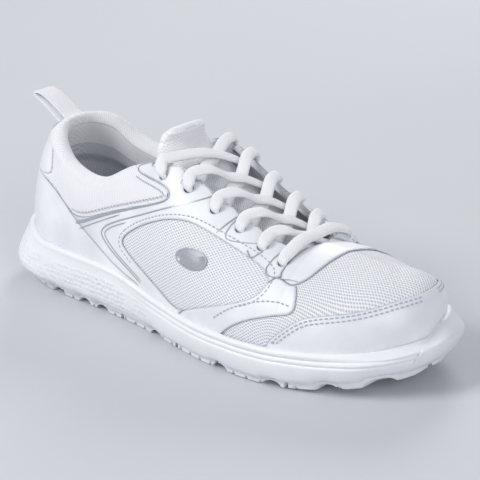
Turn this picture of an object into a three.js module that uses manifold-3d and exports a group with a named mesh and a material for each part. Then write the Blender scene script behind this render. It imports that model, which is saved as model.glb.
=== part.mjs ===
// A low-cut running shoe for the right foot, about a European 43, in millimetres.
// +X points to the toe, +Y to the inner (medial) side, +Z up; the origin is on the ground
// under the middle of the sole. Each layer of the upper is one node: lining, padding,
// stiffeners, mesh and the smooth overlays are offsets of one skin surface.
import * as THREE from "three";
import { mergeVertices } from "three/addons/utils/BufferGeometryUtils.js";
import Module from "manifold-3d";

const wasm = await Module();
wasm.setup();

// ---- driving dimensions ----
const shoeLength = 295.8; // heel to toe
const shoeWidth = 106.8; // at the ball of the foot
const shoeHeight = 105.25; // ground to the top of the tongue
const gap = 0.3; // between pieces that are sewn, glued or laid together
const overlayWall = 0.9; // smooth synthetic overlays
const meshWall = 0.7; // knitted mesh
const backingWall = 0.6; // tape behind the eyelets
const liningWall = 0.6;
const stiffenerWall = 1.4; // heel counter and toe puff
const collarPad = 6.5; // foam round the ankle
const boardWall = 1.2;
const sockWall = 4;
const sockCupRise = 3; // how far the insole edge turns up
const outsoleWall = 4; // rubber treads
const lipWall = 2.4; // foam rim that the upper sits in
const bumperWall = 2.6; // toe bumper rubber
const bumperGap = 0.5; // round the foam core that it wraps
const toeSpring = 13; // how far the toe curls off the ground
const heelBevel = 4; // how far the back of the heel curls off the ground
const treadGap = 2.4; // grooves between the rubber treads
const treadInset = 1; // treads keep this far inside the foam edge
const widestAt = 14; // height of the widest line of the sole above the ground side
const laceDiameter = 3.6;
const laceClear = 0.45;
const eyeletClear = 1.1; // round the lace in its eyelet
const aglet = { diameter: 4.4, length: 12, clear: 0.3 };
const laceTail = 15; // lace between the top eyelet and its aglet, tucked inside
const tongue = { cover: 0.8, foam: 4, lining: 0.7, bulge: 4 };
const loopStrap = { width: 12, wall: 1.3 };
const badge = { length: 22, height: 10, wall: 0.6 };

// ---- the drawing: the tables below hold these overall sizes and follow the ones above ----
const drawn = { length: 295.8, width: 106.8, height: 105.25 };
const along = (x) => (x * shoeLength) / drawn.length;
const across = (y) => (y * shoeWidth) / drawn.width;
const upward = (z) => (z * shoeHeight) / drawn.height;
const sideLine = (line) => line.map(([x, z]) => [along(x), upward(z)]);

// ---- the skin: stations round the shoe, heel, outer side, toe, inner side ----
// feather edge x, y; top edge or ridge x, y, z; handles: out and up from the feather edge,
// out and down from the top; flare of the midsole beyond the feather edge
const stations = [
  [-132, 0, -113, 0, 97, 1, 34, 10, 20, 15.9],
  [-127, -19, -110, -13, 96, 1, 34, 10, 20, 13],
  [-110, -31, -99, -24, 91, 2, 30, 8, 20, 9],
  [-84, -35, -82, -28, 80, 4, 24, 6, 16, 6],
  [-56, -36, -58, -29, 77, 5, 24, 6, 16, 5],
  [-28, -38, -34, -26, 88, 6, 30, 10, 18, 4.5],
  [2, -43, -6, -22, 93, 6, 32, 14, 12, 4.5],
  [32, -48, 26, -19, 79, 6, 29, 16, 7, 4.5],
  [58, -49, 54, -17, 67, 6, 27, 18, 4, 4.5],
  [72, -48, 70, -14, 62.5, 6, 26, 20, 3, 4.5],
  [84, -46, 76, 0, 62, 6, 26, 28, 0, 4.5],
  [106, -38, 98, 4, 60, 6, 26, 26, 1, 5],
  [124, -26, 110, 8, 58, 6, 24, 22, 0, 7],
  [136, -8, 117, 10, 56, 6, 22, 16, 0, 9],
  [138, 9, 117, 10, 56, 6, 22, 16, 0, 10],
  [131, 27, 117, 10, 56, 6, 22, 16, 0, 10],
  [114, 39.6, 110, 8, 58, 6, 22, 14, 3, 8],
  [90, 46.4, 98, 4, 60, 6, 26, 20, 3, 7],
  [74, 46.5, 76, 0, 62, 6, 26, 22, 4, 6],
  [62, 45.6, 70, 14, 62.5, 6, 26, 18, 4, 5.5],
  [38, 40, 54, 17, 67, 6, 27, 18, 4, 5],
  [14, 34, 26, 19, 79, 5, 30, 16, 7, 5],
  [-10, 31, -6, 22, 93, 5, 32, 14, 12, 5],
  [-32, 30, -34, 26, 88, 5, 30, 10, 18, 5],
  [-58, 31, -58, 29, 77, 4, 24, 6, 16, 5],
  [-86, 33, -82, 28, 80, 4, 24, 6, 16, 6],
  [-112, 30, -99, 24, 91, 2, 30, 8, 20, 9],
  [-128, 18, -110, 13, 96, 1, 34, 10, 20, 13],
].map(([x, y, topX, topY, topZ, out, up, topOut, down, flared]) => [
  along(x), across(y), along(topX), across(topY), upward(topZ),
  across(out), upward(up), across(topOut), upward(down), flared,
]);
const around = stations.length;
const apex = 10; // the station at the front of the throat, and its twin on the inner side
const toePole = 13; // the ridge of the vamp ends here
// the floor that the foot stands on, as x and z
const floorLine = sideLine([
  [-150, 27], [-110, 25], [-84, 24], [-56, 22], [-28, 20.5], [0, 19.5],
  [30, 18], [60, 17.5], [90, 19], [112, 21], [130, 24], [150, 28],
]);
// top of the foam rim, as x and z
const rimLine = sideLine([
  [-150, 38], [-128, 35], [-106, 30], [-77, 30], [-40, 29.5], [-10, 25],
  [20, 22.5], [60, 22], [100, 23], [126, 25], [150, 27],
]);

// how far the ground edge is tucked in from the widest line, as station from the heel and distance
const tuckLine = [[0, 11], [2, 7], [4, 4.5], [8, 4.5], [11, 5], [14, 7]];

function hermite(p1, p2, m1, m2, t) {
  const t2 = t * t;
  const t3 = t2 * t;
  return (2 * t3 - 3 * t2 + 1) * p1 + (t3 - 2 * t2 + t) * m1 + (3 * t2 - 2 * t3) * p2 + (t3 - t2) * m2;
}

// smooth value through rows of numbers, closed into a ring
function ringValue(rows, u, column) {
  const n = rows.length;
  const i = Math.floor(u);
  const at = (k) => rows[(((i + k) % n) + n) % n][column];
  return hermite(at(0), at(1), (at(1) - at(-1)) / 2, (at(2) - at(0)) / 2, u - i);
}

// smooth value along an open line of [x, value] points
function lineValue(line, x) {
  const last = line.length - 1;
  if (x <= line[0][0]) return line[0][1];
  if (x >= line[last][0]) return line[last][1];
  let i = 0;
  while (line[i + 1][0] < x) i += 1;
  const slope = (k) => {
    const a = line[Math.max(0, k - 1)];
    const b = line[Math.min(last, k + 1)];
    return (b[1] - a[1]) / (b[0] - a[0]);
  };
  const span = line[i + 1][0] - line[i][0];
  const t = (x - line[i][0]) / span;
  return hermite(line[i][1], line[i + 1][1], slope(i) * span, slope(i + 1) * span, t);
}

const floorZ = (x) => lineValue(floorLine, x);
const rimZ = (x) => lineValue(rimLine, x);

// height of the ground side of the sole: flat, with the toe and the heel curling up
function groundZ(x) {
  const toe = Math.max(0, (x - along(70)) / along(80));
  const heel = Math.max(0, (along(-118) - x) / along(30));
  return toeSpring * toe * toe + heelBevel * heel * heel;
}

// the closed edge round the ankle and the throat, and the ridge from throat to toe
const mouth = [...stations.slice(0, apex + 1), ...stations.slice(around - apex + 1)];
const ridge = stations.slice(apex, toePole + 1).map((row) => [row[2], row[3], row[4]]);

function topPoint(u) {
  const near = Math.min(u, around - u);
  if (near >= apex) {
    const w = Math.min(near, toePole) - apex;
    const i = Math.min(Math.floor(w), ridge.length - 2);
    const value = (c) => {
      const a = ridge[Math.max(0, i - 1)][c];
      const p = ridge[i][c];
      const q = ridge[i + 1][c];
      const b = ridge[Math.min(ridge.length - 1, i + 2)][c];
      const m1 = i === 0 ? q - p : (q - a) / 2;
      const m2 = i === ridge.length - 2 ? 0 : (b - p) / 2;
      return hermite(p, q, m1, m2, w - i);
    };
    return new THREE.Vector3(value(0), value(1), value(2));
  }
  const s = u < apex ? u : u - (around - 2 * apex);
  return new THREE.Vector3(ringValue(mouth, s, 2), ringValue(mouth, s, 3), ringValue(mouth, s, 4));
}

function featherPoint(u) {
  const x = ringValue(stations, u, 0);
  return new THREE.Vector3(x, ringValue(stations, u, 1), floorZ(x));
}

// outward direction of the feather edge in plan
function featherOut(u) {
  const d = 0.02;
  const x = ringValue(stations, u + d, 0) - ringValue(stations, u - d, 0);
  const y = ringValue(stations, u + d, 1) - ringValue(stations, u - d, 1);
  return new THREE.Vector3(y, -x, 0).normalize();
}

// the skin: a cubic from the feather edge, v = 0, to the top edge, v = 1
function skinPoint(u, v) {
  const base = featherPoint(u);
  const top = topPoint(u);
  const outward = new THREE.Vector3(base.x - top.x, base.y - top.y, 0).normalize();
  const h1 = base.clone().addScaledVector(featherOut(u), ringValue(stations, u, 5));
  h1.z += ringValue(stations, u, 6);
  const h2 = top.clone().addScaledVector(outward, ringValue(stations, u, 7));
  h2.z -= ringValue(stations, u, 8);
  const w = 1 - v;
  return base
    .multiplyScalar(w * w * w)
    .addScaledVector(h1, 3 * w * w * v)
    .addScaledVector(h2, 3 * w * v * v)
    .addScaledVector(top, v * v * v);
}

// ---- one grid that every layer of the upper shares ----
const heelSplit = 0.012; // half the seam at the back of the heel, in stations
const vampSplit = 0.04; // half the seam between quarter and vamp, in stations
const vampSeam = 9;
const roundHeel = 3; // half steps up to this station, and again round the toe from the next one
const roundToe = 11;
const columns = [];
for (let k = 0; k <= 2 * around; k += 1) {
  const u = k / 2;
  const near = Math.min(u, around - u);
  const straight = near > roundHeel && near < roundToe;
  if (u === 0) columns.push(heelSplit);
  else if (u === around) columns.push(around - heelSplit);
  else if (near === vampSeam) columns.push(u - vampSplit, u + vampSplit);
  else if (!straight || Number.isInteger(u)) columns.push(u);
}
const rows = [0, 0.03, 0.18, 0.36, 0.54, 0.7, 0.86, 1];
const skin = columns.map((u) => rows.map((v) => skinPoint(u, v)));

// vertex normals of the grid, shared where the two sides meet along the ridge
function gridNormals() {
  const key = (p) => p.toArray().map((c) => Math.round(c * 1000)).join();
  const sums = new Map();
  const n = columns.length;
  const add = (p, normal) => {
    const k = key(p);
    if (!sums.has(k)) sums.set(k, new THREE.Vector3());
    sums.get(k).add(normal);
  };
  for (let i = 0; i < n; i += 1) {
    for (let j = 0; j + 1 < rows.length; j += 1) {
      const [a, b] = [skin[i][j], skin[(i + 1) % n][j]];
      const [c, d] = [skin[(i + 1) % n][j + 1], skin[i][j + 1]];
      const normal = new THREE.Vector3().crossVectors(
        c.clone().sub(a),
        d.clone().sub(b),
      );
      [a, b, c, d].forEach((p) => add(p, normal));
    }
  }
  return skin.map((column) => column.map((p) => sums.get(key(p)).clone().normalize()));
}
const normals = gridNormals();

const lifted = (i, j, offset) => skin[i][j].clone().addScaledVector(normals[i][j], offset);
const nearest = (list, value) =>
  list.reduce((best, c, i) => (Math.abs(c - value) < Math.abs(list[best] - value) ? i : best), 0);
const columnAt = (u) => nearest(columns, u);
const rowAt = (v) => nearest(rows, v);

// ---- solids ----
// triangles as a merged solid; those that have no area are left out
function solidFrom(points, faces) {
  const flat = new Float32Array(faces.length * 9);
  faces.forEach((face, f) => face.forEach((p, k) => points[p].toArray(flat, f * 9 + k * 3)));
  const geometry = new THREE.BufferGeometry().setAttribute("position", new THREE.BufferAttribute(flat, 3));
  return solidOf(geometry);
}

function solidOf(geometry) {
  const plain = new THREE.BufferGeometry().setAttribute("position", geometry.getAttribute("position"));
  if (geometry.index) plain.setIndex(geometry.index);
  const merged = mergeVertices(plain, 1e-3);
  const index = merged.index.array;
  const kept = [];
  for (let t = 0; t < index.length; t += 3) {
    const [a, b, c] = [index[t], index[t + 1], index[t + 2]];
    if (a !== b && b !== c && c !== a) kept.push(a, b, c);
  }
  const made = new wasm.Manifold(
    new wasm.Mesh({
      numProp: 3,
      vertProperties: new Float32Array(merged.getAttribute("position").array),
      triVerts: new Uint32Array(kept),
    }),
  );
  return made;
}

// a layer of the skin between two columns and two rows; offsets are numbers or functions of u, v
function layer(fromU, toU, fromV, toV, inner, outer) {
  const n = columns.length;
  const start = columnAt(fromU);
  const end = columnAt(toU);
  const whole = fromU === toU;
  const wide = whole ? n : ((end - start + n) % n) + 1;
  const low = rowAt(fromV);
  const tall = rowAt(toV) - low + 1;
  const value = (offset, i, j) => (typeof offset === "number" ? offset : offset(columns[i], rows[j]));
  const points = [];
  const faces = [];
  for (const offset of [outer, inner]) {
    for (let i = 0; i < wide; i += 1) {
      for (let j = 0; j < tall; j += 1) {
        const c = (start + i) % n;
        points.push(lifted(c, low + j, value(offset, c, low + j)));
      }
    }
  }
  const id = (side, i, j) => side * wide * tall + (i % wide) * tall + j;
  const quad = (a, b, c, d) => faces.push([a, b, c], [a, c, d]);
  const steps = whole ? wide : wide - 1;
  const ridgeOnly = rowAt(toV) === rows.length - 1;
  for (let i = 0; i < steps; i += 1) {
    for (let j = 0; j + 1 < tall; j += 1) {
      quad(id(0, i, j), id(0, i + 1, j), id(0, i + 1, j + 1), id(0, i, j + 1));
      quad(id(1, i, j), id(1, i, j + 1), id(1, i + 1, j + 1), id(1, i + 1, j));
    }
    quad(id(1, i, 0), id(1, i + 1, 0), id(0, i + 1, 0), id(0, i, 0));
    const u = columns[(start + i) % n];
    const next = columns[(start + i + 1) % n];
    // along the vamp ridge the two sides close on each other, so no edge wall is made there
    const zipped = ridgeOnly && Math.min(u, around - u) >= apex && Math.min(next, around - next) >= apex;
    if (!zipped) {
      const j = tall - 1;
      quad(id(0, i, j), id(0, i + 1, j), id(1, i + 1, j), id(1, i, j));
    }
  }
  if (!whole) {
    for (let j = 0; j + 1 < tall; j += 1) {
      const e = wide - 1;
      quad(id(1, 0, j), id(0, 0, j), id(0, 0, j + 1), id(1, 0, j + 1));
      quad(id(0, e, j), id(1, e, j), id(1, e, j + 1), id(0, e, j + 1));
    }
  }
  return solidFrom(points, faces);
}

// a solid from rings of points, one for each column, closed below and above by strips
// that join each column to its twin across the shoe
function ringSolid(rings) {
  const n = columns.length;
  const points = rings.flat();
  const faces = [];
  const id = (r, i) => r * n + (i % n);
  for (let r = 0; r + 1 < rings.length; r += 1) {
    for (let i = 0; i < n; i += 1) {
      faces.push([id(r, i), id(r, i + 1), id(r + 1, i + 1)], [id(r, i), id(r + 1, i + 1), id(r + 1, i)]);
    }
  }
  const top = rings.length - 1;
  for (let i = 0; 2 * i + 1 < n; i += 1) {
    const [a, b] = [i, i + 1];
    const [c, d] = [n - 2 - i, n - 1 - i];
    if (b < c) {
      faces.push([id(0, a), id(0, d), id(0, c)], [id(0, a), id(0, c), id(0, b)]);
      faces.push([id(top, a), id(top, c), id(top, d)], [id(top, a), id(top, b), id(top, c)]);
    } else if (b === c) {
      faces.push([id(0, a), id(0, d), id(0, b)]);
      faces.push([id(top, a), id(top, b), id(top, d)]);
    }
  }
  return solidFrom(points, faces);
}

// a prism along Y from an outline of [x, z] points, rounded through its points if smooth
function sidePrism(outline, fromY, toY, smooth = false) {
  const flat = outline.map(([x, z]) => new THREE.Vector2(x, z));
  const shape = new THREE.Shape();
  if (smooth) {
    shape.moveTo(flat[0].x, flat[0].y);
    shape.splineThru([...flat.slice(1), flat[0]]);
  } else {
    shape.setFromPoints(flat);
  }
  const steps = smooth ? 2 * outline.length : 1;
  const geometry = new THREE.ExtrudeGeometry(shape, {
    depth: toY - fromY,
    bevelEnabled: false,
    curveSegments: steps,
  });
  // the outline lies in x and z, and the prism runs along +Y
  geometry.rotateX(Math.PI / 2);
  geometry.translate(0, toY, 0);
  return solidOf(geometry);
}

// an outline grown outwards by a distance
function grown(outline, distance) {
  const n = outline.length;
  let area = 0;
  outline.forEach(([x, z], i) => {
    const [nx, nz] = outline[(i + 1) % n];
    area += x * nz - nx * z;
  });
  const turn = area > 0 ? 1 : -1;
  return outline.map(([x, z], i) => {
    const a = outline[(i + n - 1) % n];
    const b = outline[(i + 1) % n];
    const d1 = new THREE.Vector2(x - a[0], z - a[1]).normalize();
    const d2 = new THREE.Vector2(b[0] - x, b[1] - z).normalize();
    const n1 = new THREE.Vector2(d1.y, -d1.x).multiplyScalar(turn);
    const n2 = new THREE.Vector2(d2.y, -d2.x).multiplyScalar(turn);
    const middle = n1.clone().add(n2).normalize();
    const reach = distance / Math.max(0.5, middle.dot(n1));
    return [x + middle.x * reach, z + middle.y * reach];
  });
}

const shoe = new THREE.Group();
const finishes = {
  synthetic: { color: 0xf4f4f6, roughness: 0.45, metalness: 0 },
  mesh: { color: 0xf1f1f4, roughness: 0.9, metalness: 0 },
  lining: { color: 0xdcdde2, roughness: 0.95, metalness: 0 },
  foam: { color: 0xe9e9ec, roughness: 0.95, metalness: 0 },
  sole: { color: 0xf5f5f7, roughness: 0.6, metalness: 0 },
  rubber: { color: 0xf2f2f4, roughness: 0.5, metalness: 0 },
  board: { color: 0xcfd0d4, roughness: 0.9, metalness: 0 },
  print: { color: 0xa9abb0, roughness: 0.35, metalness: 0.3 },
  lace: { color: 0xf6f6f8, roughness: 0.85, metalness: 0 },
};

function addNode(name, solid, finish) {
  const mesh = solid.getMesh();
  const geometry = new THREE.BufferGeometry()
    .setAttribute("position", new THREE.BufferAttribute(mesh.vertProperties, 3))
    .setIndex(new THREE.BufferAttribute(mesh.triVerts, 1));
  geometry.computeVertexNormals();
  const node = new THREE.Mesh(geometry, new THREE.MeshStandardMaterial(finishes[finish]));
  node.name = name;
  shoe.add(node);
}

// the largest body of a cut solid; slivers that a cut leaves behind are dropped
function largest(solid) {
  return solid.decompose().reduce((a, b) => (a.volume() > b.volume() ? a : b));
}

// ---- layers, from the outside in ----
const meshOut = -gap;
const meshIn = meshOut - meshWall;
const backOut = meshIn - gap;
const backIn = backOut - backingWall;
const stiffIn = backOut - stiffenerWall;
const padIn = backOut - collarPad;
const padEnd = 4; // the ankle foam reaches this station on each side
const fromHeel = (u) => Math.min(u, around - u);
const eyeletRow = (u, v) => v > 0.6 && fromHeel(u) > padEnd + 0.2 && fromHeel(u) < apex;
const ankle = (u, v) => v > 0.5 && fromHeel(u) <= padEnd + 0.2;
const liningOut = (u, v) => (ankle(u, v) ? padIn : eyeletRow(u, v) ? backIn : stiffIn) - gap;
const liningIn = (u, v) => liningOut(u, v) - liningWall;
const lowRow = rows[1];

// ---- eyelets: station, height on the skin; the inner side mirrors the outer ----
const eyelets = [
  [9.12, 0.78], [8.12, 0.84], [7.5, 0.86], [6.93, 0.86], [6.37, 0.86], [5.8, 0.87],
];
function skinFrame(u, v) {
  const d = 0.01;
  const p = skinPoint(u, v);
  const du = skinPoint(u + d, v).sub(skinPoint(u - d, v));
  const dv = skinPoint(u, v + d).sub(skinPoint(u, v - d));
  return { p, normal: du.cross(dv).normalize() };
}
const eyeletFrames = [-1, 1].map((side) => eyelets.map(([u, v]) => skinFrame(side < 0 ? u : around - u, v)));

function tubeAlong(p, direction, radius, length, sides = 8) {
  const geometry = new THREE.CylinderGeometry(radius, radius, length, sides);
  geometry.applyQuaternion(new THREE.Quaternion().setFromUnitVectors(new THREE.Vector3(0, 1, 0), direction));
  geometry.translate(p.x, p.y, p.z);
  return solidOf(geometry);
}
const eyeletHoles = eyeletFrames
  .flat()
  .map(({ p, normal }) => tubeAlong(p, normal, laceDiameter / 2 + eyeletClear, 24))
  .reduce((a, b) => a.add(b));

// ---- outlines of the overlays, in side view ----
const heelOverlayLine = sideLine([
  [-160, 10], [-15, 10], [-17, 27], [-35, 30], [-56, 41.5], [-72, 50],
  [-86, 59], [-98, 65], [-112, 68], [-124, 69], [-160, 69],
]);
const heelPatchLine = sideLine([[-140, 77], [-112, 77], [-111, 84], [-113, 92], [-115, 103], [-140, 103]]);
const anklePanelLine = sideLine([
  [-118, 68], [-96, 66], [-84, 58.5], [-71, 51], [-41, 63], [-11, 73.6], [-3, 76.5],
  [-1, 79.5], [-4, 82], [-10, 83.6], [-31, 85], [-37, 92], [-44, 110], [-106, 110], [-109, 84], [-116, 76],
]);
const windowLine = sideLine([
  [-35, 49], [-22, 59], [-7, 66], [3.5, 69.5], [15, 70.5], [26, 68], [37, 65], [46, 62.5],
  [56, 59.5], [66, 56.5], [73, 53], [71, 46], [59, 40.5], [34, 32], [18, 25], [10, 25.5],
  [1, 30], [-14, 36.5], [-28, 43],
]);
const bandLine = sideLine([
  [78, 54.5], [73, 53], [71, 46], [59, 40.5], [34, 32], [18, 25], [8, 12], [44, 12],
  [49, 22], [64, 33], [81, 39], [90, 40.5], [92, 44], [87, 52.5],
]);
const toeWindowLine = sideLine([
  [44, 12], [49, 22], [64, 33], [81, 39], [90, 40.5], [92, 44], [87, 52.5], [92, 54], [98, 70],
  [150, 70], [150, 51], [135, 49.5], [126, 46.5], [116, 44], [104, 42], [96, 39.5], [87, 32],
  [80, 25], [76, 12],
]);
const mudguardLine = sideLine([
  [76, 12], [80, 25], [87, 32], [96, 39.5], [104, 42], [116, 44], [126, 46.5], [135, 49.5],
  [160, 52], [160, 10],
]);
// the throat patch crosses the vamp in front of the lacing
const patchLine = sideLine([[74, 54.5], [87, 52.5], [92, 53.5], [97, 56], [97, 80], [74, 80]]);
const patchSide = across(33);

const reach = across(70); // past the widest part of the shoe on either side
const sides = [
  { name: "lateral", from: -reach, to: 0 },
  { name: "medial", from: 0, to: reach },
];
const wideCut = (line) => sidePrism(line, -reach, reach);
const sideCut = (line, side) => sidePrism(line, side.from, side.to);

const overlaySkin = layer(0, 0, lowRow, 1, 0, overlayWall);
const patchCut = sidePrism(patchLine, -patchSide, patchSide);
const patchKeep = sidePrism(grown(patchLine, gap), -patchSide - gap, patchSide + gap);
const wholeSide = sideLine([[-160, 5], [160, 5], [160, 120], [-160, 120]]);
const badgePlace = { x: along(24), z: upward(54) };

addNode("heel_overlay", largest(overlaySkin.intersect(wideCut(heelOverlayLine))), "synthetic");
addNode("heel_patch", largest(overlaySkin.intersect(wideCut(heelPatchLine))), "synthetic");
addNode("toe_mudguard", largest(overlaySkin.intersect(wideCut(mudguardLine))), "synthetic");
addNode("throat_patch", largest(overlaySkin.intersect(patchCut).subtract(eyeletHoles)), "synthetic");
for (const side of sides) {
  const half = overlaySkin.intersect(sideCut(wholeSide, side));
  const clear = (solid, ...lines) => lines.reduce((s, line) => s.subtract(wideCut(grown(line, gap))), solid);
  const panel = clear(half.intersect(wideCut(anklePanelLine)), heelOverlayLine, heelPatchLine);
  addNode("ankle_panel_" + side.name, largest(panel), "mesh");
  const band = half.intersect(wideCut(bandLine)).subtract(patchKeep);
  addNode("side_band_" + side.name, largest(clear(band, mudguardLine)), "synthetic");
  const saddle = clear(half, heelOverlayLine, heelPatchLine, anklePanelLine, bandLine, mudguardLine)
    .subtract(wideCut(windowLine))
    .subtract(wideCut(toeWindowLine))
    .subtract(patchKeep)
    .subtract(eyeletHoles);
  addNode("saddle_overlay_" + side.name, largest(saddle), "synthetic");
  const disc = new THREE.Shape();
  disc.absellipse(badgePlace.x, badgePlace.z, badge.length / 2, badge.height / 2, 0, 2 * Math.PI);
  const outline = disc.getPoints(9).slice(0, -1).map((p) => [p.x, p.y]);
  const badgeSkin = layer(0, 0, lowRow, 1, meshOut + gap, meshOut + gap + badge.wall);
  addNode("side_badge_" + side.name, largest(badgeSkin.intersect(sideCut(outline, side))), "print");
}

// ---- mesh of the upper, its stiffeners, padding and lining ----
const seamRear = vampSeam - vampSplit; // where the quarters end
const seamFront = vampSeam + vampSplit; // and where the vamp starts
const laced = (from, to, low, inner, outer) => layer(from, to, low, 1, inner, outer).subtract(eyeletHoles);
const meshOf = (from, to) => laced(from, to, lowRow, meshIn, meshOut);
const backingOf = (from, to) => laced(from, to, 0.86, backIn, backOut);
const liningOf = (from, to) => laced(from, to, lowRow, liningIn, liningOut);
addNode("quarter_mesh_lateral", meshOf(heelSplit, seamRear), "mesh");
addNode("quarter_mesh_medial", meshOf(around - seamRear, around - heelSplit), "mesh");
addNode("vamp_mesh", meshOf(seamFront, around - seamFront), "mesh");
addNode("heel_counter", layer(around - 3.5, 3.5, lowRow, 0.36, stiffIn, backOut), "board");
addNode("toe_puff", layer(12, 16, lowRow, 0.54, stiffIn, backOut), "board");
addNode("collar_foam", layer(around - padEnd, padEnd, 0.54, 0.86, padIn, backOut), "foam");
addNode("eyelet_backing_lateral", backingOf(5.5, seamRear), "board");
addNode("eyelet_backing_medial", backingOf(around - seamRear, around - 5.5), "board");
addNode("vamp_lining", liningOf(seamFront, around - seamFront), "lining");
addNode("collar_lining", liningOf(around - seamRear, seamRear), "lining");

// ---- sole ----
const ringOf = (offset, z) =>
  columns.map((u) => {
    const p = featherPoint(u).addScaledVector(featherOut(u), offset(u));
    p.z = z(p.x, u);
    return p;
  });
const flare = (u) => ringValue(stations, u, 9);
// a ring on the skin at a height, lifted outwards
function skinRing(height, lift) {
  return columns.map((u) => {
    const target = height(featherPoint(u).x);
    let low = 0;
    let high = 0.9;
    for (let k = 0; k < 18; k += 1) {
      const v = (low + high) / 2;
      if (skinPoint(u, v).z < target) low = v;
      else high = v;
    }
    const { p, normal } = skinFrame(u, Math.max(0.02, (low + high) / 2));
    normal.z = 0;
    return p.addScaledVector(normal.normalize(), lift);
  });
}
// the space that the finished upper fills
const upperSpace = ringSolid([
  columns.map((u, i) => lifted(i, 0, overlayWall + gap)),
  ...rows.slice(1).map((v, k) => columns.map((u, i) => lifted(i, k + 1, overlayWall + gap))),
]);
const tuck = (u) => lineValue(tuckLine, fromHeel(u));
const soleBlock = (cut, rimLift, top, drop = 0) =>
  ringSolid([
    ringOf((u) => flare(u) - tuck(u) - cut, (x) => groundZ(x) + outsoleWall - drop),
    ringOf((u) => flare(u) - tuck(u) * 0.4 - cut, (x) => groundZ(x) + outsoleWall + 3 - drop),
    ringOf((u) => flare(u) - cut, (x) => groundZ(x) + widestAt),
    skinRing(top, rimLift),
  ]);
const bumperTop = upward(40);
const bumperLine = sideLine([[108, -5], [122, 60], [170, 60], [170, -5]]); // its rear seam leans forward
const frontHalf = wideCut(bumperLine);
const frontCut = wideCut(grown(bumperLine, gap));
const fullBlock = soleBlock(0, overlayWall + gap + lipWall, rimZ);
const coreRim = 0.6; // foam left between the upper and the bumper
const coreBlock = soleBlock(bumperWall + bumperGap, overlayWall + gap + coreRim, rimZ);
const midsole = fullBlock.subtract(frontCut).add(coreBlock.intersect(fullBlock)).subtract(upperSpace);
addNode("midsole", largest(midsole), "sole");
const bumperBlock = soleBlock(0, overlayWall + gap + bumperWall, () => bumperTop);
const coreTop = (x) => rimZ(x) + bumperGap;
const coreSpace = soleBlock(bumperWall, overlayWall + gap + coreRim + bumperGap, coreTop, bumperGap);
const bumper = bumperBlock.intersect(frontHalf).subtract(coreSpace).subtract(upperSpace);
addNode("toe_bumper", largest(bumper), "rubber");

// rubber treads: the sole's footprint cut into blocks by cross grooves
const treadSheet = ringSolid([
  ringOf((u) => flare(u) - tuck(u) - treadInset - 1, (x) => groundZ(x)),
  ringOf((u) => flare(u) - tuck(u) - treadInset, (x) => groundZ(x) + outsoleWall - gap),
]);
const treads = [
  ["outsole_heel", -160, -92],
  ["outsole_arch", -92, -40],
  ["outsole_midfoot", -40, 10],
  ["outsole_ball_rear", 10, 44],
  ["outsole_ball_front", 44, 88],
  ["outsole_toe", 88, 160],
];
for (const [name, from, to] of treads) {
  const x0 = along(from) + treadGap / 2;
  const x1 = along(to) - treadGap / 2;
  const block = wideCut([[x0, -5], [x1, -5], [x1, 40], [x0, 40]]);
  addNode(name, largest(treadSheet.intersect(block)), "rubber");
}

// board and insole lie on the foam floor inside the lining
const inside = -liningIn(0, 0) + gap;
const plate = (inset, low, high, rise = 0) =>
  ringSolid([
    ringOf(() => -inset, (x) => floorZ(x) + low),
    ringOf(() => -inset, (x) => floorZ(x) + high + rise),
    ringOf(() => -inset - 2.5, (x) => floorZ(x) + high + rise),
    ringOf(() => -inset - 7, (x) => floorZ(x) + high),
  ]);
addNode("strobel_board", plate(inside, gap, gap + boardWall), "board");
const sockLow = gap + boardWall + gap;
addNode("sockliner", plate(inside + 0.6, sockLow, sockLow + sockWall, sockCupRise), "foam");

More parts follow.
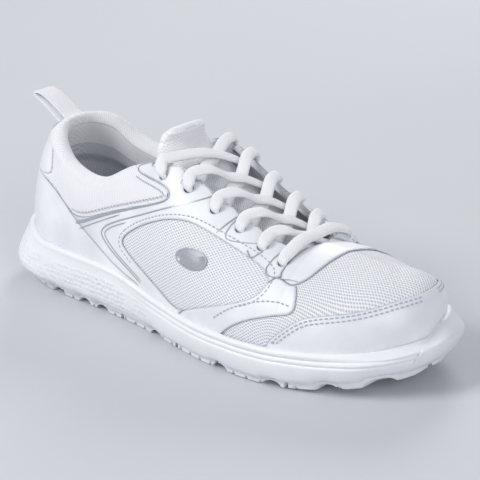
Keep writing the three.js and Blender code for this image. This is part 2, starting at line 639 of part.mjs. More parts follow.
// ---- tongue: three sheets one on another, from under the vamp to above the laces ----
// centre line of its outer face, as x and z; the last stretch is free above the laces
// it lies one lace below this line
const tongueLine = sideLine([
  [97, 56.2], [88, 57], [78, 58], [68, 60.4], [54, 65.4], [40, 70.9], [26, 77.6], [8, 86], [-5, 92.8],
]).map(([x, z]) => [x, z - laceDiameter]);
const tongueTopLine = sideLine([[-5.5, 89.6], [-12, 94.5], [-16.5, 99.5], [-19, 105]]);
function tongueSheet(line, depth, wall, narrow, bulge = 0) {
  const wide = 6;
  const points = [];
  const faces = [];
  const count = line.length;
  for (const side of [0, 1]) {
    line.forEach(([x, z], k) => {
      const forward = Math.min(1, Math.max(0, (x - along(-20)) / along(100)));
      const half = across(22 - 8 * forward) - narrow; // 22 wide at the top, 14 at the front
      const before = line[Math.max(0, k - 1)];
      const after = line[Math.min(count - 1, k + 1)];
      const ahead = new THREE.Vector2(after[0] - before[0], after[1] - before[1]).normalize();
      const fat = bulge * Math.sin((Math.PI * (k + 0.4)) / (count - 0.2));
      const down = side === 0 ? depth : depth + wall + fat;
      for (let s = 0; s <= wide; s += 1) {
        const y = ((2 * s) / wide - 1) * half;
        const drop = down + upward(11) * (y / across(28)) ** 2;
        // the line runs towards the ankle, so its left side is the inner face
        points.push(new THREE.Vector3(x - ahead.y * drop, y, z + ahead.x * drop));
      }
    });
  }
  const id = (side, k, s) => side * count * (wide + 1) + k * (wide + 1) + s;
  const quad = (a, b, c, d) => faces.push([a, b, c], [a, c, d]);
  const e = count - 1;
  for (let k = 0; k < e; k += 1) {
    for (let s = 0; s < wide; s += 1) {
      quad(id(0, k, s), id(0, k, s + 1), id(0, k + 1, s + 1), id(0, k + 1, s));
      quad(id(1, k, s), id(1, k + 1, s), id(1, k + 1, s + 1), id(1, k, s + 1));
    }
    quad(id(0, k, 0), id(0, k + 1, 0), id(1, k + 1, 0), id(1, k, 0));
    quad(id(0, k, wide), id(1, k, wide), id(1, k + 1, wide), id(0, k + 1, wide));
  }
  for (let s = 0; s < wide; s += 1) {
    quad(id(0, 0, s), id(1, 0, s), id(1, 0, s + 1), id(0, 0, s + 1));
    quad(id(0, e, s), id(0, e, s + 1), id(1, e, s + 1), id(1, e, s));
  }
  return solidFrom(points, faces);
}
const foamTop = tongue.cover + gap;
const foamEnd = foamTop + tongue.foam;
const tongueTopIn = 5; // and it is narrower than the part under the laces
addNode("tongue_cover", tongueSheet(tongueLine, 0, tongue.cover, 0), "mesh");
addNode("tongue_foam", tongueSheet(tongueLine, foamTop, tongue.foam, 1.5), "foam");
addNode("tongue_lining", tongueSheet(tongueLine, foamEnd + gap, tongue.lining, 0), "lining");
addNode("tongue_top_cover", tongueSheet(tongueTopLine, 0, tongue.cover, tongueTopIn), "mesh");
const topPad = tongueSheet(tongueTopLine, foamTop, tongue.foam, tongueTopIn + 0.5, tongue.bulge);
addNode("tongue_top_pad", topPad, "lining");

// ---- lace: one cord through six pairs of eyelets, crossing over the tongue ----
const laceRadius = laceDiameter / 2;
const laceOver = overlayWall + laceClear + laceRadius; // above the skin
const laceUnder = meshWall + backingWall + liningWall + 3 * gap + laceClear + laceRadius; // below it
const tongueRising = [...tongueLine].reverse();
const edgeFrames = eyeletFrames.map((side, s) =>
  side.map((frame, k) => {
    const u = s === 0 ? eyelets[k][0] : around - eyelets[k][0];
    return { p: skinPoint(u, 1), normal: frame.normal };
  }),
);
const lift = (frame, offset) => frame.p.clone().addScaledVector(frame.normal, offset);

// through an eyelet from the top and back out under the edge of the throat
function downEyelet(s, k) {
  const eye = eyeletFrames[s][k];
  const edge = edgeFrames[s][k];
  const inward = edge.p.clone().sub(eye.p).setLength(1);
  return [
    lift(eye, laceOver).addScaledVector(inward, 2),
    lift(eye, laceOver - 1.6),
    lift(eye, -1),
    lift(eye, 1 - laceUnder).addScaledVector(inward, 0.4),
    lift(eye, -laceUnder - 0.7).addScaledVector(inward, 2.4),
  ];
}
// from under one edge, over the tongue and over the other edge at the next row
function crossing(s, k, upper) {
  const from = lift(edgeFrames[s][k], -laceUnder - 0.2);
  from.addScaledVector(new THREE.Vector3(0.25, s === 0 ? 1 : -1, 0), laceDiameter / 3);
  const to = lift(edgeFrames[1 - s][k + 1], laceOver);
  const x = (from.x + to.x) / 2;
  const low = lineValue(tongueRising, x) + laceRadius + 2 * laceClear;
  const z = upper ? low + laceDiameter + laceClear : low;
  const middle = new THREE.Vector3(x, (from.y + to.y) / 2, z);
  const early = from.clone().lerp(middle, 0.55);
  const late = middle.clone().lerp(to, 0.5);
  early.z = from.z + (z - from.z) * (upper ? 0.7 : 0.8);
  late.z = Math.max(to.z + 0.2, (z + to.z) / 2 + 0.6);
  return [from, early, middle, late, to];
}
function tailInside(s) {
  const u = s === 0 ? eyelets[5][0] : around - eyelets[5][0];
  const depth = stiffenerWall + meshWall + liningWall + 3 * gap + laceClear + aglet.diameter / 2 + 0.6;
  const top = skinFrame(u, 0.76);
  const down = skinFrame(u, 0.3);
  const start = lift(top, -depth);
  const end = lift(down, -depth);
  end.sub(start).setLength(laceTail).add(start);
  const ahead = end.clone().sub(start).normalize();
  return { start, end, ahead };
}
const half = (first) => {
  const points = [];
  let s = first;
  for (let k = 0; k < eyelets.length; k += 1) {
    points.push(...downEyelet(s, k).slice(k === 0 ? 1 : 0));
    if (k + 1 < eyelets.length) {
      points.push(...crossing(s, k, s === 1));
      s = 1 - s;
    }
  }
  const tail = tailInside(s);
  points.pop();
  points.push(tail.start.clone(), tail.end.clone());
  return { points, tail };
};
const [outerHalf, innerHalf] = [half(0), half(1)];
const barEnds = [0, 1].map((s) => lift(eyeletFrames[s][0], laceOver).addScaledVector(
  edgeFrames[s][0].p.clone().sub(eyeletFrames[s][0].p).setLength(1), 2));
const barMiddle = barEnds[0].clone().add(barEnds[1]).multiplyScalar(0.5);
const barLift = 2.4; // keeps the bar clear of the rounded edge of the throat
barMiddle.z += 2 * barLift;
const barPoints = [
  barEnds[0],
  barEnds[0].clone().lerp(barMiddle, 0.5).add(new THREE.Vector3(0, 0, barLift)),
  barMiddle,
  barEnds[1].clone().lerp(barMiddle, 0.5).add(new THREE.Vector3(0, 0, barLift)),
  barEnds[1],
];
const laceRoute = [...outerHalf.points.reverse(), ...barPoints, ...innerHalf.points];

// a round cord with a ring of points at each point of its route
function cord(route, radius, sides) {
  const points = [];
  const faces = [];
  const last = route.length - 1;
  let sideways = new THREE.Vector3(0, 0, 1);
  route.forEach((p, i) => {
    const before = p.clone().sub(route[Math.max(0, i - 1)]).normalize();
    const after = route[Math.min(last, i + 1)].clone().sub(p).normalize();
    const ahead = before.clone().add(after).normalize();
    sideways.addScaledVector(ahead, -sideways.dot(ahead)).normalize();
    const other = ahead.clone().cross(sideways);
    for (let k = 0; k < sides; k += 1) {
      const a = (2 * Math.PI * k) / sides;
      const round = p.clone().addScaledVector(sideways, radius * Math.cos(a));
      points.push(round.addScaledVector(other, radius * Math.sin(a)));
    }
  });
  for (let i = 0; i < last; i += 1) {
    for (let k = 0; k < sides; k += 1) {
      const [a, b] = [i * sides + k, i * sides + ((k + 1) % sides)];
      faces.push([a, b, b + sides], [a, b + sides, a + sides]);
    }
  }
  for (let k = 1; k + 1 < sides; k += 1) {
    faces.push([0, k + 1, k], [last * sides, last * sides + k, last * sides + k + 1]);
  }
  return solidFrom(points, faces);
}
addNode("lace", cord(laceRoute, laceRadius, 6), "lace");
[outerHalf, innerHalf].forEach(({ tail }, i) => {
  const centre = tail.end.clone().addScaledVector(tail.ahead, aglet.length / 2 + aglet.clear);
  const tip = tubeAlong(centre, tail.ahead, aglet.diameter / 2, aglet.length, 6);
  addNode(i === 0 ? "aglet_outer_end" : "aglet_inner_end", tip, "lace");
});

// ---- pull loop: webbing folded on itself behind the heel patch ----
const loopLine = sideLine([
  [-121.6, 87.5], [-126, 91.6], [-132.5, 96.6], [-138.6, 100.6], [-140.2, 103], [-138, 104.6],
  [-132, 103.6], [-125, 101.6], [-118.5, 100.2], [-113.5, 98.6],
]);
function strapOutline(line, wall) {
  const sidePoint = (k, sign) => {
    const a = line[Math.max(0, k - 1)];
    const b = line[Math.min(line.length - 1, k + 1)];
    const d = new THREE.Vector2(b[0] - a[0], b[1] - a[1]).normalize();
    return [line[k][0] - (d.y * sign * wall) / 2, line[k][1] + (d.x * sign * wall) / 2];
  };
  const there = line.map((p, k) => sidePoint(k, 1));
  const back = line.map((p, k) => sidePoint(k, -1)).reverse();
  return [...there, ...back];
}
const strap = strapOutline(loopLine, loopStrap.wall);
addNode("pull_loop", sidePrism(strap, -loopStrap.width / 2, loopStrap.width / 2), "synthetic");

export default shoe;
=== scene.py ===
import math

import bmesh
import bpy
import numpy as np
from mathutils import Matrix


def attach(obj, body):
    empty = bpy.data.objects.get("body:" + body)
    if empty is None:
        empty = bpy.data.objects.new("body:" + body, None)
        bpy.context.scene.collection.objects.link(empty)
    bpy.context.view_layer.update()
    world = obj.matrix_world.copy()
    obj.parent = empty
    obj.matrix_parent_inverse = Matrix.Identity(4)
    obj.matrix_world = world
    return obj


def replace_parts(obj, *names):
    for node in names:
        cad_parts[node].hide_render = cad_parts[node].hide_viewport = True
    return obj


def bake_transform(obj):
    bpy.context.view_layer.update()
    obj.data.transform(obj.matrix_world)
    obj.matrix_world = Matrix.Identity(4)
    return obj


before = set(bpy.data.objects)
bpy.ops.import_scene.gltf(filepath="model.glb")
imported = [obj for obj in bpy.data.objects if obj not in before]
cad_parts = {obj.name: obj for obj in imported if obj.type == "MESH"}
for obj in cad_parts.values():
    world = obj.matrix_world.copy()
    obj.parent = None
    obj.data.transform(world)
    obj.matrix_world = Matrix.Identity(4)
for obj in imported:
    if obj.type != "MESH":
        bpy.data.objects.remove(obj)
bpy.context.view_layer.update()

# A right running shoe: knit mesh under smooth overlays, padded collar, foam sole with rubber treads.
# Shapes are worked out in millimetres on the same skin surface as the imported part, +X to the toe,
# +Y to the inner side, and become metres when a mesh is made.
print("running shoe:", len(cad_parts), "packed nodes")


# camera and light
cameraView = {"azimuth": 45.5, "elevation": 21.0, "roll": -2.4, "distance": 1.0, "target": (0, 0, 0.05),
              "fieldWidth": 0.2567, "shift": (0.0469, -0.0167)}


def makeCamera(view):
    a, e, r = (math.radians(view[k]) for k in ("azimuth", "elevation", "roll"))
    back = np.array([math.sin(a) * math.cos(e), -math.cos(a) * math.cos(e), math.sin(e)])
    right = np.array([math.cos(a), math.sin(a), 0.0])
    up = np.cross(back, right)
    turnedRight = right * math.cos(r) + up * math.sin(r)
    turnedUp = -right * math.sin(r) + up * math.cos(r)
    data = bpy.data.cameras.new("camera")
    data.sensor_width = 36.0
    data.lens = 36.0 * view["distance"] / view["fieldWidth"]
    data.shift_x, data.shift_y = view["shift"]
    data.clip_start = 0.01
    camera = bpy.data.objects.new("camera", data)
    place = np.eye(4)
    place[:3, 0], place[:3, 1], place[:3, 2] = turnedRight, turnedUp, back
    place[:3, 3] = np.array(view["target"]) + back * view["distance"]
    camera.matrix_world = Matrix(place.tolist())
    bpy.context.scene.collection.objects.link(camera)
    bpy.context.scene.camera = camera
    return camera


def makeLight(name, place, towards, size, power, warmth=(1, 1, 1)):
    data = bpy.data.lights.new(name, "AREA")
    data.shape = "DISK"
    data.size, data.energy, data.color = size, power, warmth
    lamp = bpy.data.objects.new(name, data)
    back = np.array(place, float) - np.array(towards, float)
    back /= np.linalg.norm(back)
    right = np.cross([0, 0, 1], back)
    right /= np.linalg.norm(right)
    turn = np.eye(4)
    turn[:3, 0], turn[:3, 1], turn[:3, 2], turn[:3, 3] = right, np.cross(back, right), back, place
    lamp.matrix_world = Matrix(turn.tolist())
    bpy.context.scene.collection.objects.link(lamp)


makeCamera(cameraView)
makeLight("keyLight", (-0.55, -1.25, 1.25), (0, 0, 0.04), 0.9, 19)
makeLight("fillLight", (1.5, -0.5, 0.7), (0.05, 0, 0.04), 1.2, 8)
makeLight("rimLight", (-0.7, 1.3, 1.0), (0, 0, 0.06), 0.8, 11)


# materials
def hexColour(code):
    c = np.array([int(code[i:i + 2], 16) for i in (1, 3, 5)]) / 255
    return (*np.where(c <= 0.04045, c / 12.92, ((c + 0.055) / 1.055) ** 2.4), 1.0)


def perMm(size):
    return 1000.0 / size  # texture scale of a pattern whose cell is this many millimetres


# adds a node: inputs are values, sockets or nodes (whose first output is taken), stops fill a colour ramp
def addNode(tree, kind, inputs=None, stops=None, **settings):
    node = tree.nodes.new("ShaderNode" + kind)
    for key, value in settings.items():
        setattr(node, key, value)
    for key, value in (inputs or {}).items():
        if isinstance(value, bpy.types.Node):
            value = value.outputs[0]
        if isinstance(value, bpy.types.NodeSocket):
            tree.links.new(value, node.inputs[key])
        else:
            node.inputs[key].default_value = value
    if stops:
        bar = node.color_ramp.elements
        while len(bar) < len(stops):
            bar.new(0.5)
        for element, (place, code) in zip(bar, stops):
            element.position, element.color = place, hexColour(code)
    return node


def startMaterial(name, roughness, ior=1.5, sheen=0.0, metallic=0.0):
    material = bpy.data.materials.new(name)
    material.use_nodes = True
    tree = material.node_tree
    shader = tree.nodes["Principled BSDF"]
    levels = {"Roughness": roughness, "IOR": ior, "Sheen Weight": sheen, "Metallic": metallic}
    for key, value in levels.items():
        shader.inputs[key].default_value = value
    return material, tree, shader


# joins a colour and a height in millimetres to the shader, over another bump if there is one
def dress(tree, shader, colour, height, depth, under=None):
    colourOut = 2 if colour.bl_idname == "ShaderNodeMix" else 0
    tree.links.new(colour.outputs[colourOut], shader.inputs["Base Color"])
    inputs = {"Height": height, "Strength": 1.0, "Distance": depth / 1000}
    if under:
        inputs["Normal"] = under
    tree.links.new(addNode(tree, "Bump", inputs).outputs[0], shader.inputs["Normal"])


# fine irregular cells of a real size: grain, yarn fuzz or a slow change of tone
def cellsOf(tree, size, detail=3.0):
    place = addNode(tree, "TexCoord").outputs["Object"]
    return addNode(tree, "TexNoise", {"Vector": place, "Scale": perMm(size), "Detail": detail}).outputs[0]


# the piece's own map in metres, scaled so that one pattern cell is x by y millimetres
def clothPlace(tree, x, y):
    cloth = addNode(tree, "UVMap", uv_map="clothMap")
    return addNode(tree, "Mapping", {"Vector": cloth, "Scale": (perMm(x), perMm(y), 1)})


# yarn fuzz or grain of a real size, added to a height as a share of it
def fuzzed(tree, level, size, share):
    return addNode(tree, "Math", {0: cellsOf(tree, size), 1: share, 2: level}, operation="MULTIPLY_ADD")


def sineOf(tree, turns):
    angle = addNode(tree, "Math", {0: turns, 1: 2 * math.pi}, operation="MULTIPLY")
    return addNode(tree, "Math", {0: angle}, operation="SINE")


# round ribs: the sine of a count of turns, halved and raised to lie between 0 and 1
def ribsOf(tree, turns):
    return addNode(tree, "Math", {0: sineOf(tree, turns), 1: 0.5, 2: 0.5}, operation="MULTIPLY_ADD")


# PU-coated synthetic leather: smooth and softly glossy, with a fine pressed grain, and painted shade darkening it
# towards each edge
def puLeather(name, face="#f4f5f8", edge="#c3c6ce"):
    material, tree, shader = startMaterial(name, 0.42, sheen=0.04)
    insetMm = addNode(tree, "Attribute", attribute_name="insetMm").outputs["Fac"]
    fromEdge = addNode(tree, "Math", {0: insetMm, 1: 2.0}, operation="DIVIDE")
    # painted shade: the colour darkens from 0.9 mm in towards each edge of the panel, standing for the shadow
    # along its edge
    cut = addNode(tree, "ValToRGB", {0: fromEdge}, [(0.0, edge), (0.16, "#dfe1e6"), (0.45, face)])
    cloud = addNode(tree, "ValToRGB", {0: cellsOf(tree, 22)}, [(0.3, "#eff0f3"), (0.7, "#ffffff")])
    colour = addNode(tree, "Mix", {0: 1.0, 6: cut, 7: cloud}, data_type="RGBA", blend_type="MULTIPLY")
    dress(tree, shader, colour, cellsOf(tree, 0.9), 0.05)
    return material


# spacer mesh: a knitted face with staggered rows of open holes, so it is matt, with a small shadow in every
# hole. The holes are drawn a little coarser than real, so that they show in the whole shoe
def spacerMesh(name, pitch, face, hole, depth):
    material, tree, shader = startMaterial(name, 0.85, 1.46, sheen=0.15)
    cellSide = 0.7071  # of a square cell turned by 45 degrees, as a share of the pitch
    rows = clothPlace(tree, pitch[0] * cellSide, pitch[1] * cellSide)
    staggered = addNode(tree, "Mapping", {"Vector": rows, "Rotation": (0, 0, math.pi / 4)})
    cell = addNode(tree, "TexVoronoi", {"Vector": staggered, "Scale": 1.0, "Randomness": 0.06},
                   voronoi_dimensions="2D").outputs["Distance"]
    colour = addNode(tree, "ValToRGB", {0: cell}, [(0.12, hole), (0.34, "#e6e7ed"), (0.52, face)])
    yarn = addNode(tree, "MapRange", {"Value": cell, "From Min": 0.1, "From Max": 0.45})
    dress(tree, shader, colour, fuzzed(tree, yarn, 0.45, 0.25), depth)
    return material


# warp knit: fine matt ribs a little over a millimetre apart, which sway from side to side by a sine
def ribKnit(name, face, shade, pitch, depth):
    material, tree, shader = startMaterial(name, 0.9, 1.46, sheen=0.25)
    split = addNode(tree, "SeparateXYZ", {0: clothPlace(tree, pitch, pitch * 1.3)})
    swayed = {0: sineOf(tree, split.outputs[1]), 1: 0.22, 2: split.outputs[0]}
    ribs = ribsOf(tree, addNode(tree, "Math", swayed, operation="MULTIPLY_ADD"))
    # the valleys between the ribs take the darker colour: painted shade in the grooves
    colour = addNode(tree, "ValToRGB", {0: ribs}, [(0.05, shade), (0.55, face)])
    dress(tree, shader, colour, fuzzed(tree, ribs, 0.4, 0.3), depth)
    return material


# moulded EVA foam: satin skin with a faint cell grain, and pressed dimples where the mould has them
def evaFoam(name, face="#f5f6f9"):
    material, tree, shader = startMaterial(name, 0.5, 1.45)
    dimpled = addNode(tree, "Attribute", attribute_name="dimpled").outputs["Fac"]
    place = addNode(tree, "TexCoord").outputs["Object"]
    cell = addNode(tree, "TexVoronoi", {"Vector": place, "Scale": perMm(3.0), "Randomness": 0.35})
    pit = addNode(tree, "MapRange", {"Value": cell.outputs["Distance"], "From Min": 0.15, "From Max": 0.5})
    skin = addNode(tree, "Bump", {"Height": cellsOf(tree, 1.2), "Strength": 1.0, "Distance": 0.04 / 1000})
    colour = addNode(tree, "ValToRGB", {0: cellsOf(tree, 30)}, [(0.3, "#eceef2"), (0.7, face)])
    pits = addNode(tree, "Math", {0: pit, 1: dimpled}, operation="MULTIPLY")
    dress(tree, shader, colour, pits, 0.4, skin)
    return material


# moulded or extruded goods with a plain face: a slow change of tone and a fine tool grain
def moulded(name, shade, face, roughness, grainMm=0.7, depth=0.04):
    material, tree, shader = startMaterial(name, roughness, 1.52)
    colour = addNode(tree, "ValToRGB", {0: cellsOf(tree, 18)}, [(0.3, shade), (0.75, face)])
    dress(tree, shader, colour, cellsOf(tree, grainMm), depth)
    return material


# plaited cotton: two sets of strands that meet in chevrons along the middle, where the distance across turns
# its sign
def plaited(name, face, shade, pitch, depth):
    material, tree, shader = startMaterial(name, 0.8, 1.46, sheen=0.2)
    split = addNode(tree, "SeparateXYZ", {0: clothPlace(tree, pitch, pitch)})
    aside = addNode(tree, "Math", {0: split.outputs[1]}, operation="ABSOLUTE")
    strands = ribsOf(tree, addNode(tree, "Math", {0: split.outputs[0], 1: aside}, operation="ADD"))
    # the grooves between the strands take the darker colour: painted shade
    colour = addNode(tree, "ValToRGB", {0: strands}, [(0.0, shade), (0.5, face)])
    dress(tree, shader, colour, fuzzed(tree, strands, 0.35, 0.25), depth)
    return material


# silver heat-pressed print: thin and partly metallic, with a fine sparkle of flakes
def pressedPrint(name):
    material, tree, shader = startMaterial(name, 0.36, metallic=0.35)
    colour = addNode(tree, "ValToRGB", {0: cellsOf(tree, 0.8)}, [(0.3, "#a7a9b1"), (0.7, "#bcbec5")])
    dress(tree, shader, colour, cellsOf(tree, 0.5), 0.02)
    return material


finish = {
    "overlay": puLeather("puLeatherOverlay"),
    "mesh": spacerMesh("spacerMeshUpper", (2.5, 1.75), "#fafafc", "#c2c5d0", 0.3),
    "fineMesh": spacerMesh("spacerMeshTongue", (2.0, 1.3), "#f8f8fb", "#d3d5dd", 0.2),
    # the lining's grey is painted shade for the inside of the shoe
    "lining": ribKnit("polyesterLining", "#dcdde2", "#c4c6cd", 1.4, 0.12),
    "collar": ribKnit("warpKnitCollar", "#f6f6f9", "#e4e5ea", 1.3, 0.12),
    "sock": ribKnit("sockTextile", "#e8e9ed", "#d4d6dc", 1.2, 0.1),
    "midsole": evaFoam("evaMidsoleFoam"),
    # the rubber's greyer tone is painted shade on the toe bumper and treads
    "rubber": moulded("mouldedRubber", "#e3e5e9", "#f1f2f5", 0.42),
    "thread": moulded("polyesterThread", "#b9bcc6", "#c2c5ce", 0.6, 0.3),
    "lace": plaited("plaitedCottonLace", "#fcfcfe", "#eaebf0", 1.1, 0.14),
    "webbing": plaited("wovenWebbing", "#f5f5f8", "#e0e2e8", 1.2, 0.12),
    "print": pressedPrint("silverPressedPrint"),
    "board": moulded("cellulosicBoard", "#cfd1d6", "#d8dade", 0.9, 1.2, 0.08),
    "stiffener": moulded("thermoplasticStiffener", "#d6d8dc", "#e0e2e5", 0.55),
    "plastic": moulded("clearAcetateAglet", "#e6e8ec", "#eff1f4", 0.2),
}


# making meshes
# points in millimetres, shared by faces of four corners, with -1 as the last corner of a triangle. Points
# that no face uses are dropped, and an edge sharper than the angle given stays a crease
def makePiece(name, points, faces, material, clothMap=None, values=None, sharp=38):
    faces = np.asarray(faces)
    points = np.asarray(points, float).reshape(-1, 3)
    used = np.unique(faces[faces >= 0])
    remap = np.full(len(points) + 1, -1)
    remap[used] = np.arange(len(used))
    points = points[used]
    faces = np.where(faces >= 0, remap[faces], -1)
    sizes = np.where(faces[:, -1] < 0, 3, 4) if faces.shape[1] == 4 else np.full(len(faces), 3)
    corners = faces.ravel()[faces.ravel() >= 0]
    mesh = bpy.data.meshes.new(name)
    mesh.vertices.add(len(points))
    mesh.vertices.foreach_set("co", (points / 1000).astype(np.float32).ravel())
    mesh.loops.add(len(corners))
    mesh.loops.foreach_set("vertex_index", corners.astype(np.int32))
    mesh.polygons.add(len(sizes))
    mesh.polygons.foreach_set("loop_start", np.concatenate([[0], np.cumsum(sizes)[:-1]]).astype(np.int32))
    mesh.update(calc_edges=True)
    mesh.validate()
    if clothMap is not None:
        flat = np.asarray(clothMap, float).reshape(-1, 2)[used] / 1000
        layer = mesh.uv_layers.new(name="clothMap")
        index = np.zeros(len(mesh.loops), np.int32)
        mesh.loops.foreach_get("vertex_index", index)
        layer.data.foreach_set("uv", flat[index].astype(np.float32).ravel())
    for key, numbers in (values or {}).items():
        attribute = mesh.attributes.new(key, "FLOAT", "POINT")
        attribute.data.foreach_set("value", np.asarray(numbers, float).ravel()[used].astype(np.float32))
    mesh.polygons.foreach_set("use_smooth", np.ones(len(mesh.polygons), bool))
    mesh.set_sharp_from_angle(angle=math.radians(sharp))
    piece = bpy.data.objects.new(name, mesh)
    bpy.context.scene.collection.objects.link(piece)
    mesh.materials.append(finish[material])
    return piece


# faces between neighbours of a grid whose points are numbered up each column in turn
def gridFaces(along, tall, wrapAlong=False, wrapTall=False, start=0):
    i = np.arange(along if wrapAlong else along - 1)[:, None]
    j = np.arange(tall if wrapTall else tall - 1)[None, :]
    i2, j2 = (i + 1) % along, (j + 1) % tall
    quad = [i * tall + j, i2 * tall + j, i2 * tall + j2, i * tall + j2]
    return np.stack(np.broadcast_arrays(*quad), -1).reshape(-1, 4) + start


# bakes a piece's place into its points; the piece is not bent
def flex(piece):
    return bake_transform(piece)


def pathLength(path):
    return np.concatenate([[0], np.cumsum(np.linalg.norm(np.diff(path, axis=0), axis=1))])


def unit(a):
    return a / np.maximum(np.linalg.norm(a, axis=-1, keepdims=True), 1e-9)


# an S between 0 and 1: three squares less two cubes
def smoothStep(t):
    t = np.clip(t, 0, 1)
    return t * t * (3 - 2 * t)


# the skin of the upper
# stations from the heel round the outer side, the toe and the inner side. Each row holds the feather edge x,
# y, the top edge x, y, z, the handle out and up from the feather, the handle out and down from the top, and
# the sole's flare
lastShape = {
    "stations": np.array([
        [-132, 0, -113, 0, 97, 1, 34, 10, 20, 15.9], [-127, -19, -110, -13, 96, 1, 34, 10, 20, 13],
        [-110, -31, -99, -24, 91, 2, 30, 8, 20, 9], [-84, -35, -82, -28, 80, 4, 24, 6, 16, 6],
        [-56, -36, -58, -29, 77, 5, 24, 6, 16, 5], [-28, -38, -34, -26, 88, 6, 30, 10, 18, 4.5],
        [2, -43, -6, -22, 93, 6, 32, 14, 12, 4.5], [32, -48, 26, -19, 79, 6, 29, 16, 7, 4.5],
        [58, -49, 54, -17, 67, 6, 27, 18, 4, 4.5], [72, -48, 70, -14, 62.5, 6, 26, 20, 3, 4.5],
        [84, -46, 76, 0, 62, 6, 26, 28, 0, 4.5], [106, -38, 98, 4, 60, 6, 26, 26, 1, 5],
        [124, -26, 110, 8, 58, 6, 24, 22, 0, 7], [136, -8, 117, 10, 56, 6, 22, 16, 0, 9],
        [138, 9, 117, 10, 56, 6, 22, 16, 0, 10], [131, 27, 117, 10, 56, 6, 22, 16, 0, 10],
        [114, 39.6, 110, 8, 58, 6, 22, 14, 3, 8], [90, 46.4, 98, 4, 60, 6, 26, 20, 3, 7],
        [74, 46.5, 76, 0, 62, 6, 26, 22, 4, 6], [62, 45.6, 70, 14, 62.5, 6, 26, 18, 4, 5.5],
        [38, 40, 54, 17, 67, 6, 27, 18, 4, 5], [14, 34, 26, 19, 79, 5, 30, 16, 7, 5],
        [-10, 31, -6, 22, 93, 5, 32, 14, 12, 5], [-32, 30, -34, 26, 88, 5, 30, 10, 18, 5],
        [-58, 31, -58, 29, 77, 4, 24, 6, 16, 5], [-86, 33, -82, 28, 80, 4, 24, 6, 16, 6],
        [-112, 30, -99, 24, 91, 2, 30, 8, 20, 9], [-128, 18, -110, 13, 96, 1, 34, 10, 20, 13]], float),
    "floorLine": [[-150, 27], [-110, 25], [-84, 24], [-56, 22], [-28, 20.5], [0, 19.5], [30, 18], [60, 17.5],
                  [90, 19], [112, 21], [130, 24], [150, 28]],
    "rimLine": [[-150, 38], [-128, 35], [-106, 30], [-77, 30], [-40, 29.5], [-10, 25], [20, 22.5], [60, 22],
                [100, 23], [126, 25], [150, 27]],
    "tuckLine": [[0, 11], [2, 7], [4, 4.5], [8, 4.5], [11, 5], [14, 7]],
    "around": 28, "apex": 10, "toePole": 13,
    "toeSpring": 13, "toeSpringStart": 70, "heelBevel": 4, "heelBevelStart": -118,
}
walls = {"gap": 0.3, "overlay": 0.9, "mesh": 0.7, "backing": 0.6, "lining": 0.6, "outsole": 4.0, "lip": 2.4,
         "widestAt": 14.0}
stations, around, apex = lastShape["stations"], lastShape["around"], lastShape["apex"]


# cubic through p1 and p2 with slopes m1 and m2: the four Hermite weights of t times those values
def hermite(p1, p2, m1, m2, t):
    t2, t3 = t * t, t * t * t
    return (2 * t3 - 3 * t2 + 1) * p1 + (t3 - 2 * t2 + t) * m1 + (3 * t2 - 2 * t3) * p2 + (t3 - t2) * m2


# a closed ring of rows: the slope at a row is half the step from the row before to the row after
def ringValue(rows, u, column):
    n = len(rows)
    i = np.floor(u).astype(int)
    at = lambda k: rows[(i + k) % n, column]
    return hermite(at(0), at(1), (at(1) - at(-1)) / 2, (at(2) - at(0)) / 2, u - i)


# a smooth value along [x, value] points, held level beyond the ends. The slope at a point is the rise over
# the run between its two neighbours
def lineValue(line, x):
    line = np.asarray(line, float)
    last = len(line) - 1
    x = np.clip(x, line[0, 0], line[last, 0])
    i = np.clip(np.searchsorted(line[:, 0], x, side="left") - 1, 0, last - 1)
    number = np.arange(last + 1)
    step = line[np.minimum(last, number + 1)] - line[np.maximum(0, number - 1)]
    slopes = step[:, 1] / step[:, 0]
    span = line[i + 1, 0] - line[i, 0]
    t = (x - line[i, 0]) / span
    return hermite(line[i, 1], line[i + 1, 1], slopes[i] * span, slopes[i + 1] * span, t)


# ground side of the sole: level, then rising with the square of the distance past the toe and heel starts
def groundZ(x):
    toe = np.maximum(0, (x - lastShape["toeSpringStart"]) / 80)
    heel = np.maximum(0, (lastShape["heelBevelStart"] - x) / 30)
    return lastShape["toeSpring"] * toe ** 2 + lastShape["heelBevel"] * heel ** 2


# stations counted from the heel towards the toe, on whichever side is nearer
def fromHeel(u):
    u = np.mod(u, around)
    return np.minimum(u, around - u)


mouthRows = np.vstack([stations[:apex + 1], stations[around - apex + 1:]])
ridgeRows = stations[apex:lastShape["toePole"] + 1, 2:5]


# top edge of the skin: round the ankle and throat it follows the closed mouth ring, and in front of the
# throat it follows the ridge of the vamp to a point on the toe
def topPoint(u):
    u = np.mod(u, around)
    near = np.minimum(u, around - u)
    w = np.clip(near, apex, lastShape["toePole"]) - apex
    i = np.minimum(np.floor(w).astype(int), len(ridgeRows) - 2)
    ridge = []
    for c in range(3):
        a, p = ridgeRows[np.maximum(0, i - 1), c], ridgeRows[i, c]
        q, b = ridgeRows[i + 1, c], ridgeRows[np.minimum(len(ridgeRows) - 1, i + 2), c]
        m1 = np.where(i == 0, q - p, (q - a) / 2)
        m2 = np.where(i == len(ridgeRows) - 2, 0, (b - p) / 2)
        ridge.append(hermite(p, q, m1, m2, w - i))
    s = np.where(u < apex, u, u - (around - 2 * apex))
    mouth = [ringValue(mouthRows, np.mod(s, len(mouthRows)), c) for c in (2, 3, 4)]
    return np.where((near >= apex)[..., None], np.stack(ridge, -1), np.stack(mouth, -1))


# feather edge, where the upper meets the sole: the ring of the stations at the height of the floor line
def featherPoint(u):
    x = ringValue(stations, u, 0)
    return np.stack([x, ringValue(stations, u, 1), lineValue(lastShape["floorLine"], x)], -1)


# level direction out of the feather edge: its forward direction, turned by a quarter turn
def featherOut(u):
    x = ringValue(stations, u + 0.02, 0) - ringValue(stations, u - 0.02, 0)
    y = ringValue(stations, u + 0.02, 1) - ringValue(stations, u - 0.02, 1)
    return unit(np.stack([y, -x, np.zeros_like(x)], -1))


